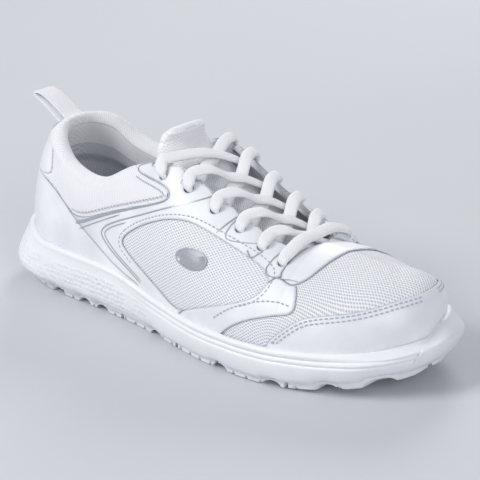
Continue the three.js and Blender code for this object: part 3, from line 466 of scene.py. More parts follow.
# the skin: for each u a cubic Bezier in v. It starts at the feather edge, its first handle goes out and up,
# its second goes out and down from the top edge, and it ends on the top edge
def skinPoint(u, v):
    u, v = np.broadcast_arrays(np.asarray(u, float), np.asarray(v, float))
    base, top = featherPoint(u), topPoint(u)
    column = lambda c: ringValue(stations, u, c)[..., None]
    lifted = np.array([0, 0, 1.0])
    outward = unit((base - top) * [1, 1, 0])
    h1 = base + featherOut(u) * column(5) + lifted * column(6)
    h2 = top + outward * column(7) - lifted * column(8)
    w, v = (1 - v)[..., None], v[..., None]
    return w ** 3 * base + 3 * w * w * v * h1 + 3 * w * v * v * h2 + v ** 3 * top


# outward normal from the two slopes of the skin; along the vamp ridge both sides share the mean of theirs
def skinNormal(u, v):
    u, v = np.broadcast_arrays(np.asarray(u, float), np.asarray(v, float))
    low = np.clip(v, 0.01, 0.97)
    d = 0.01

    def plain(uu):
        across = skinPoint(uu + d, low) - skinPoint(uu - d, low)
        rising = skinPoint(uu, low + d) - skinPoint(uu, low - d)
        return unit(np.cross(across, rising))
    own = plain(u)
    share = (smoothStep((v - 0.75) / 0.25) * smoothStep((fromHeel(u) - apex + 0.6) / 0.6) * 0.5)[..., None]
    return unit(own * (1 - share) + plain(around - u) * share)


# a place on the skin, moved along the normal by a height
def onSkin(u, v, height):
    height = np.asarray(height, float)
    return skinPoint(u, v) + skinNormal(u, v) * (height[..., None] if height.ndim else height)


# cloth map of the skin: x along the shoe, and the length of the skin measured up from the feather edge. The
# length is read between the rows of a table of summed steps
def skinMap(u, v):
    rows = 32
    steps = np.linspace(0, 1, rows + 1)
    table = skinPoint(u[:, :1] + 0 * steps, steps[None, :] + 0 * u[:, :1])
    risen = np.cumsum(np.linalg.norm(np.diff(table, axis=1), axis=-1), axis=1)
    lengths = np.concatenate([np.zeros((len(u), 1)), risen], 1)
    place = np.clip(v, 0, 1) * rows
    i = np.minimum(place.astype(int), rows - 1)
    low, high = np.take_along_axis(lengths, i, 1), np.take_along_axis(lengths, i + 1, 1)
    return np.stack([skinPoint(u, v)[..., 0], low * (1 - place + i) + high * (place - i)], -1)


# outlines in side view as [x, z], rounded by cutting each corner at a quarter of its two edges
def rounded(outline, rounds=2, closed=True):
    line = np.asarray(outline, float)
    for _ in range(rounds):
        after = np.roll(line, -1, 0) if closed else line[1:]
        before = line if closed else line[:-1]
        cut = np.stack([before * 0.75 + after * 0.25, before * 0.25 + after * 0.75], 1).reshape(-1, 2)
        line = cut if closed else np.vstack([line[:1], cut, line[-1:]])
    return line


# signed distance from points to a closed outline: the least distance to any edge, negative inside
def outlineDistance(x, z, outline):
    best = np.full(x.shape, 1e9)
    inside = np.zeros(x.shape, bool)
    for (ax, az), (bx, bz) in zip(outline, np.roll(outline, -1, 0)):
        ex, ez = bx - ax, bz - az
        t = np.clip(((x - ax) * ex + (z - az) * ez) / max(ex * ex + ez * ez, 1e-9), 0, 1)
        best = np.minimum(best, (x - ax - t * ex) ** 2 + (z - az - t * ez) ** 2)
        crosses = (az > z) != (bz > z)
        inside ^= crosses & (x < ax + (z - az) * ex / (ez if abs(ez) > 1e-9 else 1e-9))
    return np.sqrt(best) * np.where(inside, -1, 1)


outlines = {
    "heelOverlay": [[-160, 10], [-15, 10], [-17, 27], [-35, 30], [-56, 41.5], [-72, 50], [-86, 59], [-98, 65],
                    [-112, 68], [-124, 69], [-160, 69]],
    "heelPatch": [[-140, 68], [-98, 68], [-98, 76], [-100, 84], [-104, 88], [-113, 91], [-140, 92]],
    "anklePanel": [[-118, 68], [-96, 66], [-84, 58.5], [-71, 51], [-41, 63], [-11, 73.6], [-3, 76.5], [-1, 79.5],
                   [-4, 82], [-10, 83.6], [-31, 85], [-37, 92], [-44, 110], [-106, 110], [-109, 84], [-116, 76]],
    "window": [[-35, 49], [-22, 59], [-7, 66], [3.5, 69.5], [15, 70.5], [26, 68], [37, 65], [46, 62.5],
               [56, 59.5], [66, 56.5], [73, 53], [71, 46], [59, 40.5], [34, 32], [18, 25], [10, 25.5], [1, 30],
               [-14, 36.5], [-28, 43]],
    "band": [[78, 54.5], [73, 53], [71, 46], [59, 40.5], [34, 32], [18, 25], [8, 12], [44, 12], [49, 22],
             [64, 33], [81, 39], [90, 40.5], [92, 44], [87, 52.5]],
    "toeWindow": [[44, 12], [49, 22], [64, 33], [81, 39], [90, 40.5], [92, 44], [87, 52.5], [92, 54], [98, 70],
                  [150, 70], [150, 51], [135, 49.5], [126, 46.5], [116, 44], [104, 42], [96, 39.5], [87, 32],
                  [80, 25], [76, 12]],
    "mudguard": [[76, 12], [80, 25], [87, 32], [96, 39.5], [104, 42], [116, 44], [126, 46.5], [135, 49.5],
                 [160, 52], [160, 10]],
    "patch": [[74, 54.5], [83.5, 51.6], [87.5, 53], [91, 56.5], [91.5, 80], [74, 80]],
}
outlines = {name: rounded(line, 2) for name, line in outlines.items()}
patchSide = 33.0  # half width of the throat patch
# eyelets from the toe up as u, v on the outer side. The inner side mirrors them
eyelets = np.array([[9.12, 0.78], [8.12, 0.84], [7.5, 0.86], [6.93, 0.86], [6.37, 0.86], [5.8, 0.87]])
eyeletRadius = 2.6
eyeletU = {-1: eyelets[:, 0], 1: around - eyelets[:, 0]}
eyeletPlaces = {s: skinPoint(eyeletU[s], eyelets[:, 1]) for s in (-1, 1)}


# distance to the nearest eyelet
def eyeletDistance(points):
    centres = np.vstack([eyeletPlaces[-1], eyeletPlaces[1]])
    return np.min([np.linalg.norm(points - c, axis=-1) for c in centres], axis=0)


# straight distance from a point up to the top edge, for cuts that follow the edge of the throat
def belowTop(u, points):
    return np.linalg.norm(points - topPoint(u), axis=-1)


# depth of the scallops along the throat edge: none midway between two eyelets, and rising in proportion to
# the distance from there to the most beside an eyelet
def scallop(u):
    near = fromHeel(u)
    rows = eyelets[::-1, 0]
    middle = np.interp(near, rows, np.arange(len(rows)))
    wave = np.abs((middle % 1) - 0.5) * 2
    return 2.6 * wave * (near > rows[0] - 0.3) * (near < rows[-1] + 0.2)


# panels cut from the skin
# edges that only one face uses
def borderOf(faces):
    tri = faces[:, 3] < 0
    closing = np.where(tri, faces[:, 0], faces[:, 3])
    edges = np.vstack([faces[:, [0, 1]], faces[:, [1, 2]], np.stack([faces[:, 2], closing], 1),
                       faces[~tri][:, [3, 0]]])
    _, first, uses = np.unique(np.sort(edges, 1), axis=0, return_index=True, return_counts=True)
    return edges[first[uses == 1]]


# a grid in u and v. Corners near the outline are moved onto it in four steps along the slope of the
# distance, and faces with every corner inside are kept, or as a triangle with three. The face is lifted to
# height(d, u, v), and a wall drops from its border The reach is in grid steps, and the last three are in
# millimetres
snap = {"steps": 4, "reach": 0.62, "near": 3.0, "inside": 0.03, "onEdge": 0.12}


def cutPanel(name, distance, uRange, vRange, height, bottom, material, across=30, tall=96):
    nu = max(4, int(round((uRange[1] - uRange[0]) * across)))
    startU, startV = np.meshgrid(np.linspace(*uRange, nu), np.linspace(*vRange, tall), indexing="ij")
    stepU, stepV = (uRange[1] - uRange[0]) / (nu - 1), (vRange[1] - vRange[0]) / (tall - 1)
    d = distance(startU, startV, skinPoint(startU, startV))
    slopeU, slopeV = np.gradient(d, axis=0), np.gradient(d, axis=1)
    steep = slopeU ** 2 + slopeV ** 2 + 1e-9
    wanted = np.maximum(np.abs(d * slopeU / steep), np.abs(d * slopeV / steep))
    close = (wanted < snap["reach"]) & (np.abs(d) < snap["near"])
    moved = np.zeros((2, *startU.shape))
    for _ in range(snap["steps"]):
        moved[0] += np.where(close, -d * slopeU / steep, 0)
        moved[1] += np.where(close, -d * slopeV / steep, 0)
        moved = np.clip(moved, -snap["reach"], snap["reach"])
        u = np.clip(startU + moved[0] * stepU, *uRange)
        v = np.clip(startV + moved[1] * stepV, *vRange)
        d = distance(u, v, skinPoint(u, v))
    inside = (d < snap["inside"]) | (close & (np.abs(d) < snap["onEdge"]))
    quads = gridFaces(nu, tall)
    count = inside.ravel()[quads].sum(1)
    whole, three = quads[count == 4], quads[count == 3]
    out = np.argmin(inside.ravel()[three], axis=1) if len(three) else np.zeros(0, int)
    order = (out[:, None] + np.array([1, 2, 3])) % 4
    triangles = np.concatenate([np.take_along_axis(three, order, 1), np.full((len(three), 1), -1)], 1)
    faces = np.vstack([whole, triangles])
    depth = np.maximum(0, -d)
    top = onSkin(u, v, height(depth, u, v)).reshape(-1, 3)
    low = onSkin(u, v, np.full(u.shape, bottom)).reshape(-1, 3)
    border = borderOf(faces)
    size = u.size
    wall = np.stack([border[:, 1], border[:, 0], border[:, 0] + size, border[:, 1] + size], 1)
    flat = skinMap(u, v).reshape(-1, 2)
    inset = np.concatenate([depth.ravel(), np.zeros(size)])
    return makePiece(name, np.vstack([top, low]), np.vstack([faces, wall]), material,
                     np.vstack([flat, flat]), {"insetMm": inset})


# the edge starts at half the wall and rounds up to the whole wall within the crown width, as a quarter circle
def raised(wall, crown=0.7):
    return lambda depth, u, v: wall * (0.5 + 0.5 * np.sqrt(1 - (1 - np.clip(depth / crown, 0, 1)) ** 2))


sideOf = {"lateral": (0.0, around / 2), "medial": (around / 2, around)}  # the u that each side spans
sideSign = {"lateral": -1, "medial": 1}


# signed distances for a cut, negative inside: an outline, what is inside all parts, and what is outside a
# part with a seam's spare around it
def side(name):
    return lambda u, v, p: outlineDistance(p[..., 0], p[..., 2], outlines[name])


def insideOf(*parts):
    return lambda u, v, p: np.max([part(u, v, p) for part in parts], axis=0)


def outsideOf(part, spare=0.3):
    return lambda u, v, p: spare - part(u, v, p)


def patchField(u, v, p):
    return np.maximum(outlineDistance(p[..., 0], p[..., 2], outlines["patch"]), np.abs(p[..., 1]) - patchSide)


def awayFromEyelets(u, v, p):
    return eyeletRadius - eyeletDistance(p)


# below the scalloped edge of the throat, and in front of the throat only near the ridge
def throatEdge(u, v, p):
    below = belowTop(u, p)
    return 0.4 + scallop(u) + np.where(fromHeel(u) < apex, -below, below - 5)


# from the seam over the heel to the front of the throat
def saddleEnds(u, v, p):
    return np.maximum(p[..., 0] - 86, 3.2 - fromHeel(u))


# a leather panel laid straight on the skin
def leatherPanel(name, distance, uRange, vRange=(0.03, 1.0)):
    height = raised(walls["overlay"])
    return cutPanel(name, distance, uRange, vRange, height, 0.0, "overlay")


print("cutting the overlays")
heelOverlay = leatherPanel("heelOverlay", side("heelOverlay"), (-6.6, 6.6), (0.03, 0.9))
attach(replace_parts(heelOverlay, "heel_overlay"), "rearfoot")
toeMudguard = leatherPanel("toeMudguard", side("mudguard"), (8.6, 19.4))
flex(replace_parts(toeMudguard, "toe_mudguard"))
throatPatch = leatherPanel("throatPatch", insideOf(patchField, awayFromEyelets), (8.7, 19.3), (0.3, 1.0))
flex(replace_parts(throatPatch, "throat_patch"))
for sideName, uRange in sideOf.items():
    bandField = insideOf(side("band"), outsideOf(patchField), outsideOf(side("mudguard")))
    band = leatherPanel("sideBand_" + sideName, bandField, uRange)
    flex(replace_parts(band, "side_band_" + sideName))
    beside = ("heelOverlay", "heelPatch", "anklePanel", "band", "mudguard")
    seams = [outsideOf(side(panel)) for panel in beside]
    openings = [outsideOf(side(panel), 0) for panel in ("window", "toeWindow")]
    saddleField = insideOf(*seams, *openings, outsideOf(patchField), awayFromEyelets, throatEdge, saddleEnds)
    saddle = leatherPanel("saddleOverlay_" + sideName, saddleField, uRange)
    flex(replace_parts(saddle, "saddle_overlay_" + sideName))


# mesh under the overlays, and the linings
# a grid on the skin with holes at the eyelets. Its top edge is lowered round the ankle by the share
# belowRoll, where the collar rolls over
def skinSheet(name, uRange, vRange, height, material, across=14, tall=44, inward=False, belowRoll=0.0,
              flat=None):
    nu = int(round((uRange[1] - uRange[0]) * across)) + 1
    u, v = np.meshgrid(np.linspace(*uRange, nu), np.linspace(*vRange, tall), indexing="ij")
    v = v * (1 - belowRoll * smoothStep((5.3 - fromHeel(u)) / 0.9))
    faces = gridFaces(nu, tall)
    h = height(u, v) if callable(height) else np.full(u.shape, float(height))
    p = onSkin(u, v, h)
    holes = eyeletDistance(skinPoint(u, v)).ravel()[faces].min(1) < eyeletRadius - 0.3
    faces = faces[~holes]
    if inward:
        faces = faces[:, ::-1]
    return makePiece(name, p, faces, material, skinMap(u, v) if flat is None else flat(p))


quarterEnd = 8.96  # where the quarter meshes meet the vamp mesh
backSeam = 0.012


def quarterMesh(name, uRange):
    return skinSheet(name, uRange, (0.03, 1), -walls["gap"], "mesh", 24, 70, belowRoll=0.12)


quarterLateral = quarterMesh("quarterMesh_lateral", (backSeam, quarterEnd))
flex(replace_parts(quarterLateral, "quarter_mesh_lateral"))
quarterMedial = quarterMesh("quarterMesh_medial", (around - quarterEnd, around - backSeam))
flex(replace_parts(quarterMedial, "quarter_mesh_medial"))


# cloth map of the vamp, seen from above: x along, and y with the drop down the side added to it, which fades
# out towards the toe where the cloth lies flat
def vampMap(p):
    drop = np.maximum(0, 62 - p[..., 2]) * smoothStep((118 - p[..., 0]) / 40)
    return np.stack([p[..., 0], p[..., 1] + np.sign(p[..., 1] - 8) * drop], -1)


vampMesh = skinSheet("vampMesh", (quarterEnd, around - quarterEnd), (0.03, 1), -walls["gap"], "mesh",
                     20, 70, flat=vampMap)
flex(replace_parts(vampMesh, "vamp_mesh"))

binding = {"width": 0.3, "skinHeight": 42, "outside": 0.35, "inside": -3.45}
padEnd = 4.0  # the collar's padding ends this far from the heel


# bound edge of the throat: a strip that turns by half a circle from the face of the overlay over the top
# edge to the lining. It follows the scallops, as a share of the skin's height
def makeBinding(name, u0, u1, size):
    u, turn = np.meshgrid(np.linspace(u0, u1, 180), np.linspace(0, math.pi, 12), indexing="ij")
    edge = 1 - (size["width"] + 0.8 * scallop(u)) / size["skinHeight"]
    v = edge - 0.012 + 0.02 * np.sin(turn)
    middle, half = (size["outside"] + size["inside"]) / 2, (size["outside"] - size["inside"]) / 2
    return flex(makePiece(name, onSkin(u, v, middle + half * np.cos(turn)), gridFaces(*u.shape), "lining",
                          skinMap(u, v)))


makeBinding("throatBinding_lateral", 5.2, 9.7, binding)
makeBinding("throatBinding_medial", around - 9.7, around - 5.2, binding)


upperWall = {"vamp": 3.6, "collar": 5.1}


# how thick the wall of the upper is behind the skin: the collar foam swells it round the ankle
def padding(u, v):
    ankle = smoothStep((padEnd + 1.1 - fromHeel(u)) / 1.0)
    high = smoothStep((v - 0.42) / 0.16)
    return upperWall["vamp"] + upperWall["collar"] * ankle * high


vampLining = skinSheet("vampLining", (8.9, around - 8.9), (0.03, 1), -upperWall["vamp"], "lining",
                       10, 30, True)
flex(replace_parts(vampLining, "vamp_lining"))
innerLining = skinSheet("innerLining", (-9.04, 9.04), (0.03, 0.94), lambda u, v: -padding(u, v), "lining",
                        16, 60, True)
flex(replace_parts(innerLining, "collar_lining"))

# collar: the outer face of the ankle panel swells, rolls over the top edge and comes down inside. Rows run
# from low outside to the crown, where the offset is the cosine and the height the sine of one half turn, to
# inside
collar = {"uEnd": 6.0, "rollFrom": 0.9, "rollRise": 0.1, "swell": 1.9, "lowest": 0.34, "sunk": -1.1}


def makeCollar(size):
    nu = int(2 * size["uEnd"] * 22)
    uRow = np.linspace(-size["uEnd"], size["uEnd"], nu)
    outer = np.linspace(size["lowest"], size["rollFrom"], 44)
    turn = np.linspace(0, math.pi, 26)[1:-1]
    inner = np.linspace(size["rollFrom"], 0.7, 14)
    v = np.concatenate([outer, size["rollFrom"] + size["rollRise"] * np.sin(turn), inner])
    share = np.concatenate([np.ones(len(outer)), (1 + np.cos(turn)) / 2, np.zeros(len(inner))])
    u, v = np.meshgrid(uRow, v, indexing="ij")
    share = np.broadcast_to(share, u.shape)
    p = skinPoint(u, v)
    depth = np.minimum(-outlineDistance(p[..., 0], p[..., 2], outlines["anklePanel"]),
                       outlineDistance(p[..., 0], p[..., 2], outlines["heelPatch"]))
    # outside its outline the face sinks under the mesh, and inside it swells with the depth
    fade = smoothStep((padEnd + 1.6 - fromHeel(u)) / 1.6)
    swell = 1.7 + size["swell"] * fade * smoothStep(depth / 13)
    puff = size["sunk"] + swell * smoothStep((depth + 0.9) / 1.2)
    # under the heel patch it stays low
    back = smoothStep((1.6 - fromHeel(u)) / 0.8)
    high = smoothStep((v - 0.8) / 0.1)
    puff = puff * (1 - back) + (np.minimum(puff, 0.1) * high + np.minimum(puff, -0.9) * (1 - high)) * back
    # near the top the roll covers the whole width
    crown = size["sunk"] + (1.8 + 0.8 * fade) * smoothStep((v - 0.84) / 0.07)
    puff = np.maximum(puff, crown * (1 - back) + size["sunk"] * back)
    inside = -padding(u, v) - 0.2
    points = onSkin(u, v, inside * (1 - share) + puff * share)
    faces = gridFaces(*u.shape)
    hidden = (depth < -2.5) & (v < 0.82) & (share > 0.5)
    faces = faces[~hidden.ravel()[faces].all(1)]
    run = np.broadcast_to(pathLength(points[nu // 3]), u.shape)
    flat = np.stack([p[..., 0] + p[..., 1] * 0.3, run], -1)
    piece = makePiece("collarPad", points, faces, "collar", flat)
    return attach(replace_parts(piece, "collar_foam", "ankle_panel_lateral", "ankle_panel_medial"), "rearfoot")


print("padding the collar")
collarPad = makeCollar(collar)
# over the collar pad at the back: the heel patch, drawn above the swelling
heelPatch = cutPanel("heelPatch", side("heelPatch"), (-3.4, 3.4), (0.4, 0.93), raised(1.2), -0.4, "overlay",
                     40, 90)
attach(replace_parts(heelPatch, "heel_patch"), "rearfoot")


# sole
# a ring on the skin at a given height, found by halving v eighteen times, then pushed out level by one
# distance, or by one for each u
def skinRing(u, heights, lift):
    low, high = np.zeros(u.shape), np.full(u.shape, 0.9)
    for _ in range(18):
        v = (low + high) / 2
        below = skinPoint(u, v)[..., 2] < heights
        low, high = np.where(below, v, low), np.where(below, high, v)
    v = np.maximum(0.02, (low + high) / 2)
    level = unit(skinNormal(u, v) * [1, 1, 0])
    return skinPoint(u, v) + level * np.broadcast_to(lift, u.shape)[:, None]


# a ring outside the feather edge by an offset, at the height that a function of x gives
def soleRing(u, offset, height):
    q = featherPoint(u) + featherOut(u) * (offset[..., None] if np.ndim(offset) else offset)
    q[..., 2] = height(q[..., 0])
    return q


notches = {"places": (-95, -72, -57, -9, 46, 80, 108, 129), "half": 5.5}


# scallops along the lower edge: at each place a half circle, one in the middle and nothing past its half
# width
def notchAt(x):
    waves = [1 - ((x - middle) / notches["half"]) ** 2 for middle in notches["places"]]
    return np.max([np.sqrt(np.maximum(0, wave)) for wave in waves], axis=0)


flareAt = lambda u: ringValue(stations, u, 9)  # out of the feather edge to the widest line of the sole
tuckAt = lambda u: lineValue(lastShape["tuckLine"], fromHeel(u))  # back in from there to the ground edge
rimAt = lambda x: lineValue(lastShape["rimLine"], x)  # height of the rim that cups the upper
floorAt = lambda lift: lambda x: lineValue(lastShape["floorLine"], x) + lift


# height over the ground side, raised a little over each scallop
def overGround(height, scalloped=0.0):
    return lambda x: groundZ(x) + height + scalloped * notchAt(x)


# the outside of the sole as three rings: ground edge, just above it, and the widest line
def wallRings(u, low=0.0, notched=(0.0, 0.0)):
    return [soleRing(u, flareAt(u) - tuckAt(u), overGround(walls["outsole"] + low, notched[0])),
            soleRing(u, flareAt(u) - tuckAt(u) * 0.4, overGround(walls["outsole"] + 3, notched[1])),
            soleRing(u, flareAt(u), overGround(walls["widestAt"]))]


# a smooth curve through a few rings: the four Hermite weights between neighbours, one column for each u
def throughRings(rings, t):
    rings = np.stack(rings)
    last = len(rings) - 1
    i = np.minimum(t.astype(int), last - 1)
    slope = lambda k: (rings[np.minimum(last, k + 1)] - rings[np.maximum(0, k - 1)]) / 2
    w = (t - i)[:, None, None]
    return hermite(rings[i], rings[i + 1], slope(i), slope(i + 1), w)


midsole = {"columns": 700, "side": 60, "grooves": (2.6, 5.4), "grooveDepth": 0.7, "grooveWidth": 0.55,
           "bead": 0.35, "lipRound": 1.1}


# closes a ring of columns with strips, each on a straight line from a column to its twin across the shoe
def closeRing(points, rows):
    n = len(points)
    half = n // 2
    a, b = points[:half + 1], points[np.mod(-np.arange(half + 1), n)]
    t = np.linspace(0, 1, rows)[None, :, None]
    return a[:, None] * (1 - t) + b[:, None] * t


# a tube of rings with its first and last ring closed, the first one facing down
def cappedTube(rings, rows):
    tall, n = rings.shape[:2]
    points, faces = [rings.transpose(1, 0, 2).reshape(-1, 3)], [gridFaces(n, tall, wrapAlong=True)]
    count = n * tall
    for ring, down in ((rings[0], True), (rings[-1], False)):
        cap = closeRing(ring, rows)
        sheet = gridFaces(*cap.shape[:2], start=count)
        faces.append(sheet if down else sheet[:, ::-1])
        points.append(cap.reshape(-1, 3))
        count += cap.shape[0] * cap.shape[1]
    return np.vstack(points), np.vstack(faces)


# foam midsole: a smooth wall through four rings up to the lip. Two grooves and a bead run under the lip,
# each a bell curve of the drop below it. The lip rounds over by the sine of a half turn and goes down inside
# the upper
def makeMidsole(size):
    n = size["columns"]
    u = np.arange(n) * around / n
    x = featherPoint(u)[:, 0]
    lip = skinRing(u, rimAt(x), walls["overlay"] + walls["gap"] + walls["lip"])
    wall = throughRings([*wallRings(u, notched=(1.4, 0.9)), lip], np.linspace(0, 3, size["side"]))
    outward = np.broadcast_to(featherOut(u), wall.shape)
    drop = lip[None, :, 2] - wall[..., 2]
    front = smoothStep((wall[..., 0] + 25) / 30)
    groove = sum(np.exp(-((drop - g) / size["grooveWidth"]) ** 2) for g in size["grooves"])
    wall = wall - outward * (groove * front * size["grooveDepth"])[..., None]
    bead = np.exp(-((drop - 0.6) / 0.9) ** 2) * size["bead"]
    wall = wall + outward * bead[..., None]
    inner = skinRing(u, rimAt(x), 0.6)
    roundTop = []
    for t in (0.12, 0.3, 0.55, 0.8, 1):
        rise = size["lipRound"] * math.sin(math.pi * min(1, t * 0.8 + 0.1))
        roundTop.append(lip * (1 - t) + inner * t + np.array([0, 0, 1.0]) * rise)
    down = soleRing(u, 0.2, floorAt(-0.2))
    rings = np.concatenate([wall, np.stack([*roundTop, down])])
    points, faces = cappedTube(rings, 12)
    dimpled = np.zeros(len(points))
    height = wall[..., 2] - groundZ(wall[..., 0])
    band = smoothStep((height - 7) / 2) * smoothStep((lip[None, :, 2] - wall[..., 2] - 5) / 3)
    rear = smoothStep((10 - wall[..., 0]) / 30)
    dimpled[:n * len(rings)] = np.concatenate([band * rear, np.zeros((len(rings) - len(wall), n))]).T.ravel()
    piece = makePiece("midsoleFoam", points, faces, "midsole", None, {"dimpled": dimpled})
    return flex(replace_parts(piece, "midsole"))


print("moulding the sole")
makeMidsole(midsole)

bumper = {"from": 12.75, "to": 16.35, "lean": 0.6, "proud": 0.8, "rise": 6.0, "riseFrom": 13.45,
          "riseTo": 16.1, "turnAt": 0.94, "rows": 60, "columns": 240}


# rubber toe bumper: it follows the sole's wall a little proud of it, and rises over the rim in front. Both
# ends lean forwards going up. Its edge is rounded down to the foam by the square root of the distance from
# the edge
def makeBumper(size):
    n = size["columns"]
    s = np.linspace(0, 1, n)
    rings = []
    for t in np.linspace(0, 1, size["rows"]):
        u = size["from"] + size["lean"] * t + (size["to"] - size["from"] - 2 * size["lean"] * t) * s
        rim = rimAt(featherPoint(u)[:, 0])
        front = smoothStep((u - size["riseFrom"]) / 0.9) * smoothStep((size["riseTo"] - u) / 0.9)
        crest = rim + 1.0 + size["rise"] * front
        stack = [*wallRings(u, -0.2), skinRing(u, crest, 3.6 - 1.4 * (crest - rim - 1) / size["rise"])]
        p = throughRings(stack, np.array([3 * min(1, t / size["turnAt"])]))[0]
        edge = np.minimum(np.minimum(s, 1 - s) * 90, (1 - t) * 26)
        proud = size["proud"] * np.sqrt(np.clip(edge / 1.4, 0, 1)) - 0.4 * (edge < 0.05)
        if t > size["turnAt"]:
            over = (t - size["turnAt"]) / (1 - size["turnAt"])
            p = p + (skinRing(u, crest + 0.4, 0.5) - p) * over
        rings.append(p + featherOut(u) * proud[:, None])
    points = np.stack(rings, 1)
    piece = makePiece("toeBumper", points, gridFaces(n, size["rows"]), "rubber")
    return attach(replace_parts(piece, "toe_bumper"), "forefoot")


makeBumper(bumper)

# where each tread starts and ends along x, and the body it is on. Those without one have their place baked into
# their points
treads = {"outsole_heel": (-160, -92, "rearfoot"), "outsole_arch": (-92, -40, "rearfoot"),
          "outsole_midfoot": (-40, 10, "rearfoot"), "outsole_ball_rear": (10, 44, None),
          "outsole_ball_front": (44, 88, None), "outsole_toe": (88, 160, "forefoot")}
treadGap = 2.4


# one tread: a sheet between the outer and inner edge of the footprint, with rows of points set by a cosine
# so that they crowd at its ends. Its underside is cut by slanting grooves and a middle groove, and its rim
# is bevelled
def makeTread(name, start, end, body):
    u = np.linspace(0, around / 2, 600)
    outer = soleRing(u, flareAt(u) - tuckAt(u) - 1.2, groundZ)
    inner = soleRing(around - u, flareAt(around - u) - tuckAt(around - u) - 1.2, groundZ)
    lowX = max(start + treadGap / 2, max(outer[0, 0], inner[0, 0]) + 0.3)
    highX = min(end - treadGap / 2, min(outer[:, 0].max(), inner[:, 0].max()) - 0.3)
    long, wide = 130, 65
    crowded = (1 - np.cos(np.linspace(0, math.pi, long))) / 2
    x = (lowX + (highX - lowX) * crowded)[:, None] + np.zeros(wide)
    rise = np.argsort(outer[:, 0])
    yLow = np.interp(x, outer[rise, 0], outer[rise, 1])
    rise = np.argsort(inner[:, 0])
    yHigh = np.interp(x, inner[rise, 0], inner[rise, 1])
    y = yLow + (yHigh - yLow) * (np.linspace(0, 1, wide)[None, :] + 0 * x)
    middle = (yLow + yHigh) / 2
    fromSide = np.minimum(y - yLow, yHigh - y)
    edge = np.minimum(fromSide, np.minimum(x - lowX, highX - x))
    lug = np.abs(((x + 0.45 * np.abs(y - middle)) / 9.0) % 1 - 0.5) * 2
    groove = 1.7 * smoothStep((0.28 - lug) / 0.16) + 1.5 * smoothStep((1.4 - np.abs(y - middle - 2)) / 0.8)
    cut = np.minimum(groove, 1.9) + 0.8 * smoothStep(1.0 - edge)
    scalloped = 3.7 * notchAt(x) * smoothStep((13 - fromSide) / 4)
    underneath = groundZ(x) + np.maximum(cut, scalloped)
    upper = groundZ(x) + walls["outsole"] - 0.1 + 1.3 * notchAt(x) * smoothStep((6 - edge) / 5)
    low, high = np.stack([x, y, underneath], -1), np.stack([x, y, upper], -1)
    n = x.size
    faces = gridFaces(*x.shape)
    index = np.arange(n).reshape(x.shape)
    loop = np.concatenate([index[:-1, 0], index[-1, :-1], index[:0:-1, -1], index[0, :0:-1]])
    after = np.roll(loop, -1)
    walling = np.stack([loop, after, after + n, loop + n], 1)
    points = np.concatenate([low.reshape(-1, 3), high.reshape(-1, 3)])
    faces = np.vstack([faces[:, ::-1], faces + n, walling])
    piece = makePiece(name.replace("outsole_", "tread_"), points, faces, "rubber")
    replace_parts(piece, name)
    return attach(piece, body) if body else flex(piece)


for treadName, (start, end, body) in treads.items():
    makeTread(treadName, start, end, body)

# sockliner: a sheet over the foot bed that turns up at its edge into a shallow cup
sockliner = {"inset": 4.5, "low": 2.0, "wall": 4.0, "cup": 4.0}


def makeSockliner(size):
    u = np.arange(360) * around / 360
    sheet = size["low"] + size["wall"]
    profile = [(7, size["low"]), (0.2, size["low"]), (0, sheet + size["cup"] - 0.6),
               (0.4, sheet + size["cup"]), (1.2, sheet + size["cup"] - 0.4), (2.2, sheet + size["cup"] * 0.55),
               (4, sheet + size["cup"] * 0.2), (7, sheet)]
    rings = np.stack([soleRing(u, -size["inset"] - inwards, floorAt(lift)) for inwards, lift in profile])
    points, faces = cappedTube(rings, 20)
    piece = makePiece("sockLinerSheet", points, faces, "sock", points[:, :2])
    return flex(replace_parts(piece, "sockliner"))


makeSockliner(sockliner)


# tongue
tongue = {
    "line": [[97, 52.6], [88, 53.4], [78, 54.4], [68, 56.8], [54, 61.8], [40, 67.3], [26, 74], [8, 82.4],
             [-5, 89.2]],
    "topLine": [[-5.2, 89.4], [-11, 93.6], [-15, 98.4], [-16.6, 102.6], [-15.4, 104.9]],
    "thick": 5.6, "crown": 11.0}


# smooth centre line through a few points, with as many points as asked, evenly spaced, and the length run at
# each
def smoothPath(points, count):
    points = np.asarray(points, float)
    last = len(points) - 1
    t = np.linspace(0, last, 40 * last + 1)
    i = np.minimum(t.astype(int), last - 1)
    slope = lambda k: (points[np.minimum(last, k + 1)] - points[np.maximum(0, k - 1)]) / 2
    fine = hermite(points[i], points[i + 1], slope(i), slope(i + 1), (t - i)[:, None])
    run = pathLength(fine)
    even = np.linspace(0, run[-1], count)
    return np.stack([np.interp(even, run, fine[:, c]) for c in range(points.shape[1])], -1), even


# a strip: a grid of rings along a path, closed at both ends by a fan to a middle point. Its cloth map runs
# along the path and across the strip
def makeStrip(name, rings, middles, run, across, material, sharp=38):
    n, rim = rings.shape[:2]
    ring, after = np.arange(rim), (np.arange(rim) + 1) % rim
    none, middle, last = np.full(rim, -1), np.full(rim, n * rim), (n - 1) * rim
    fans = [np.stack([middle, ring, after, none], 1),
            np.stack([middle + 1, last + after, last + ring, none], 1)]
    flat = np.stack(np.broadcast_arrays(run[:, None], across), -1).reshape(-1, 2)
    return makePiece(name, np.vstack([rings.reshape(-1, 3), middles]),
                     np.vstack([gridFaces(n, rim, wrapTall=True), *fans]), material,
                     np.vstack([flat, [[0, 0], [run[-1], 0]]]), sharp=sharp)


def powered(wave, power):
    return np.sign(wave) * np.abs(wave) ** power


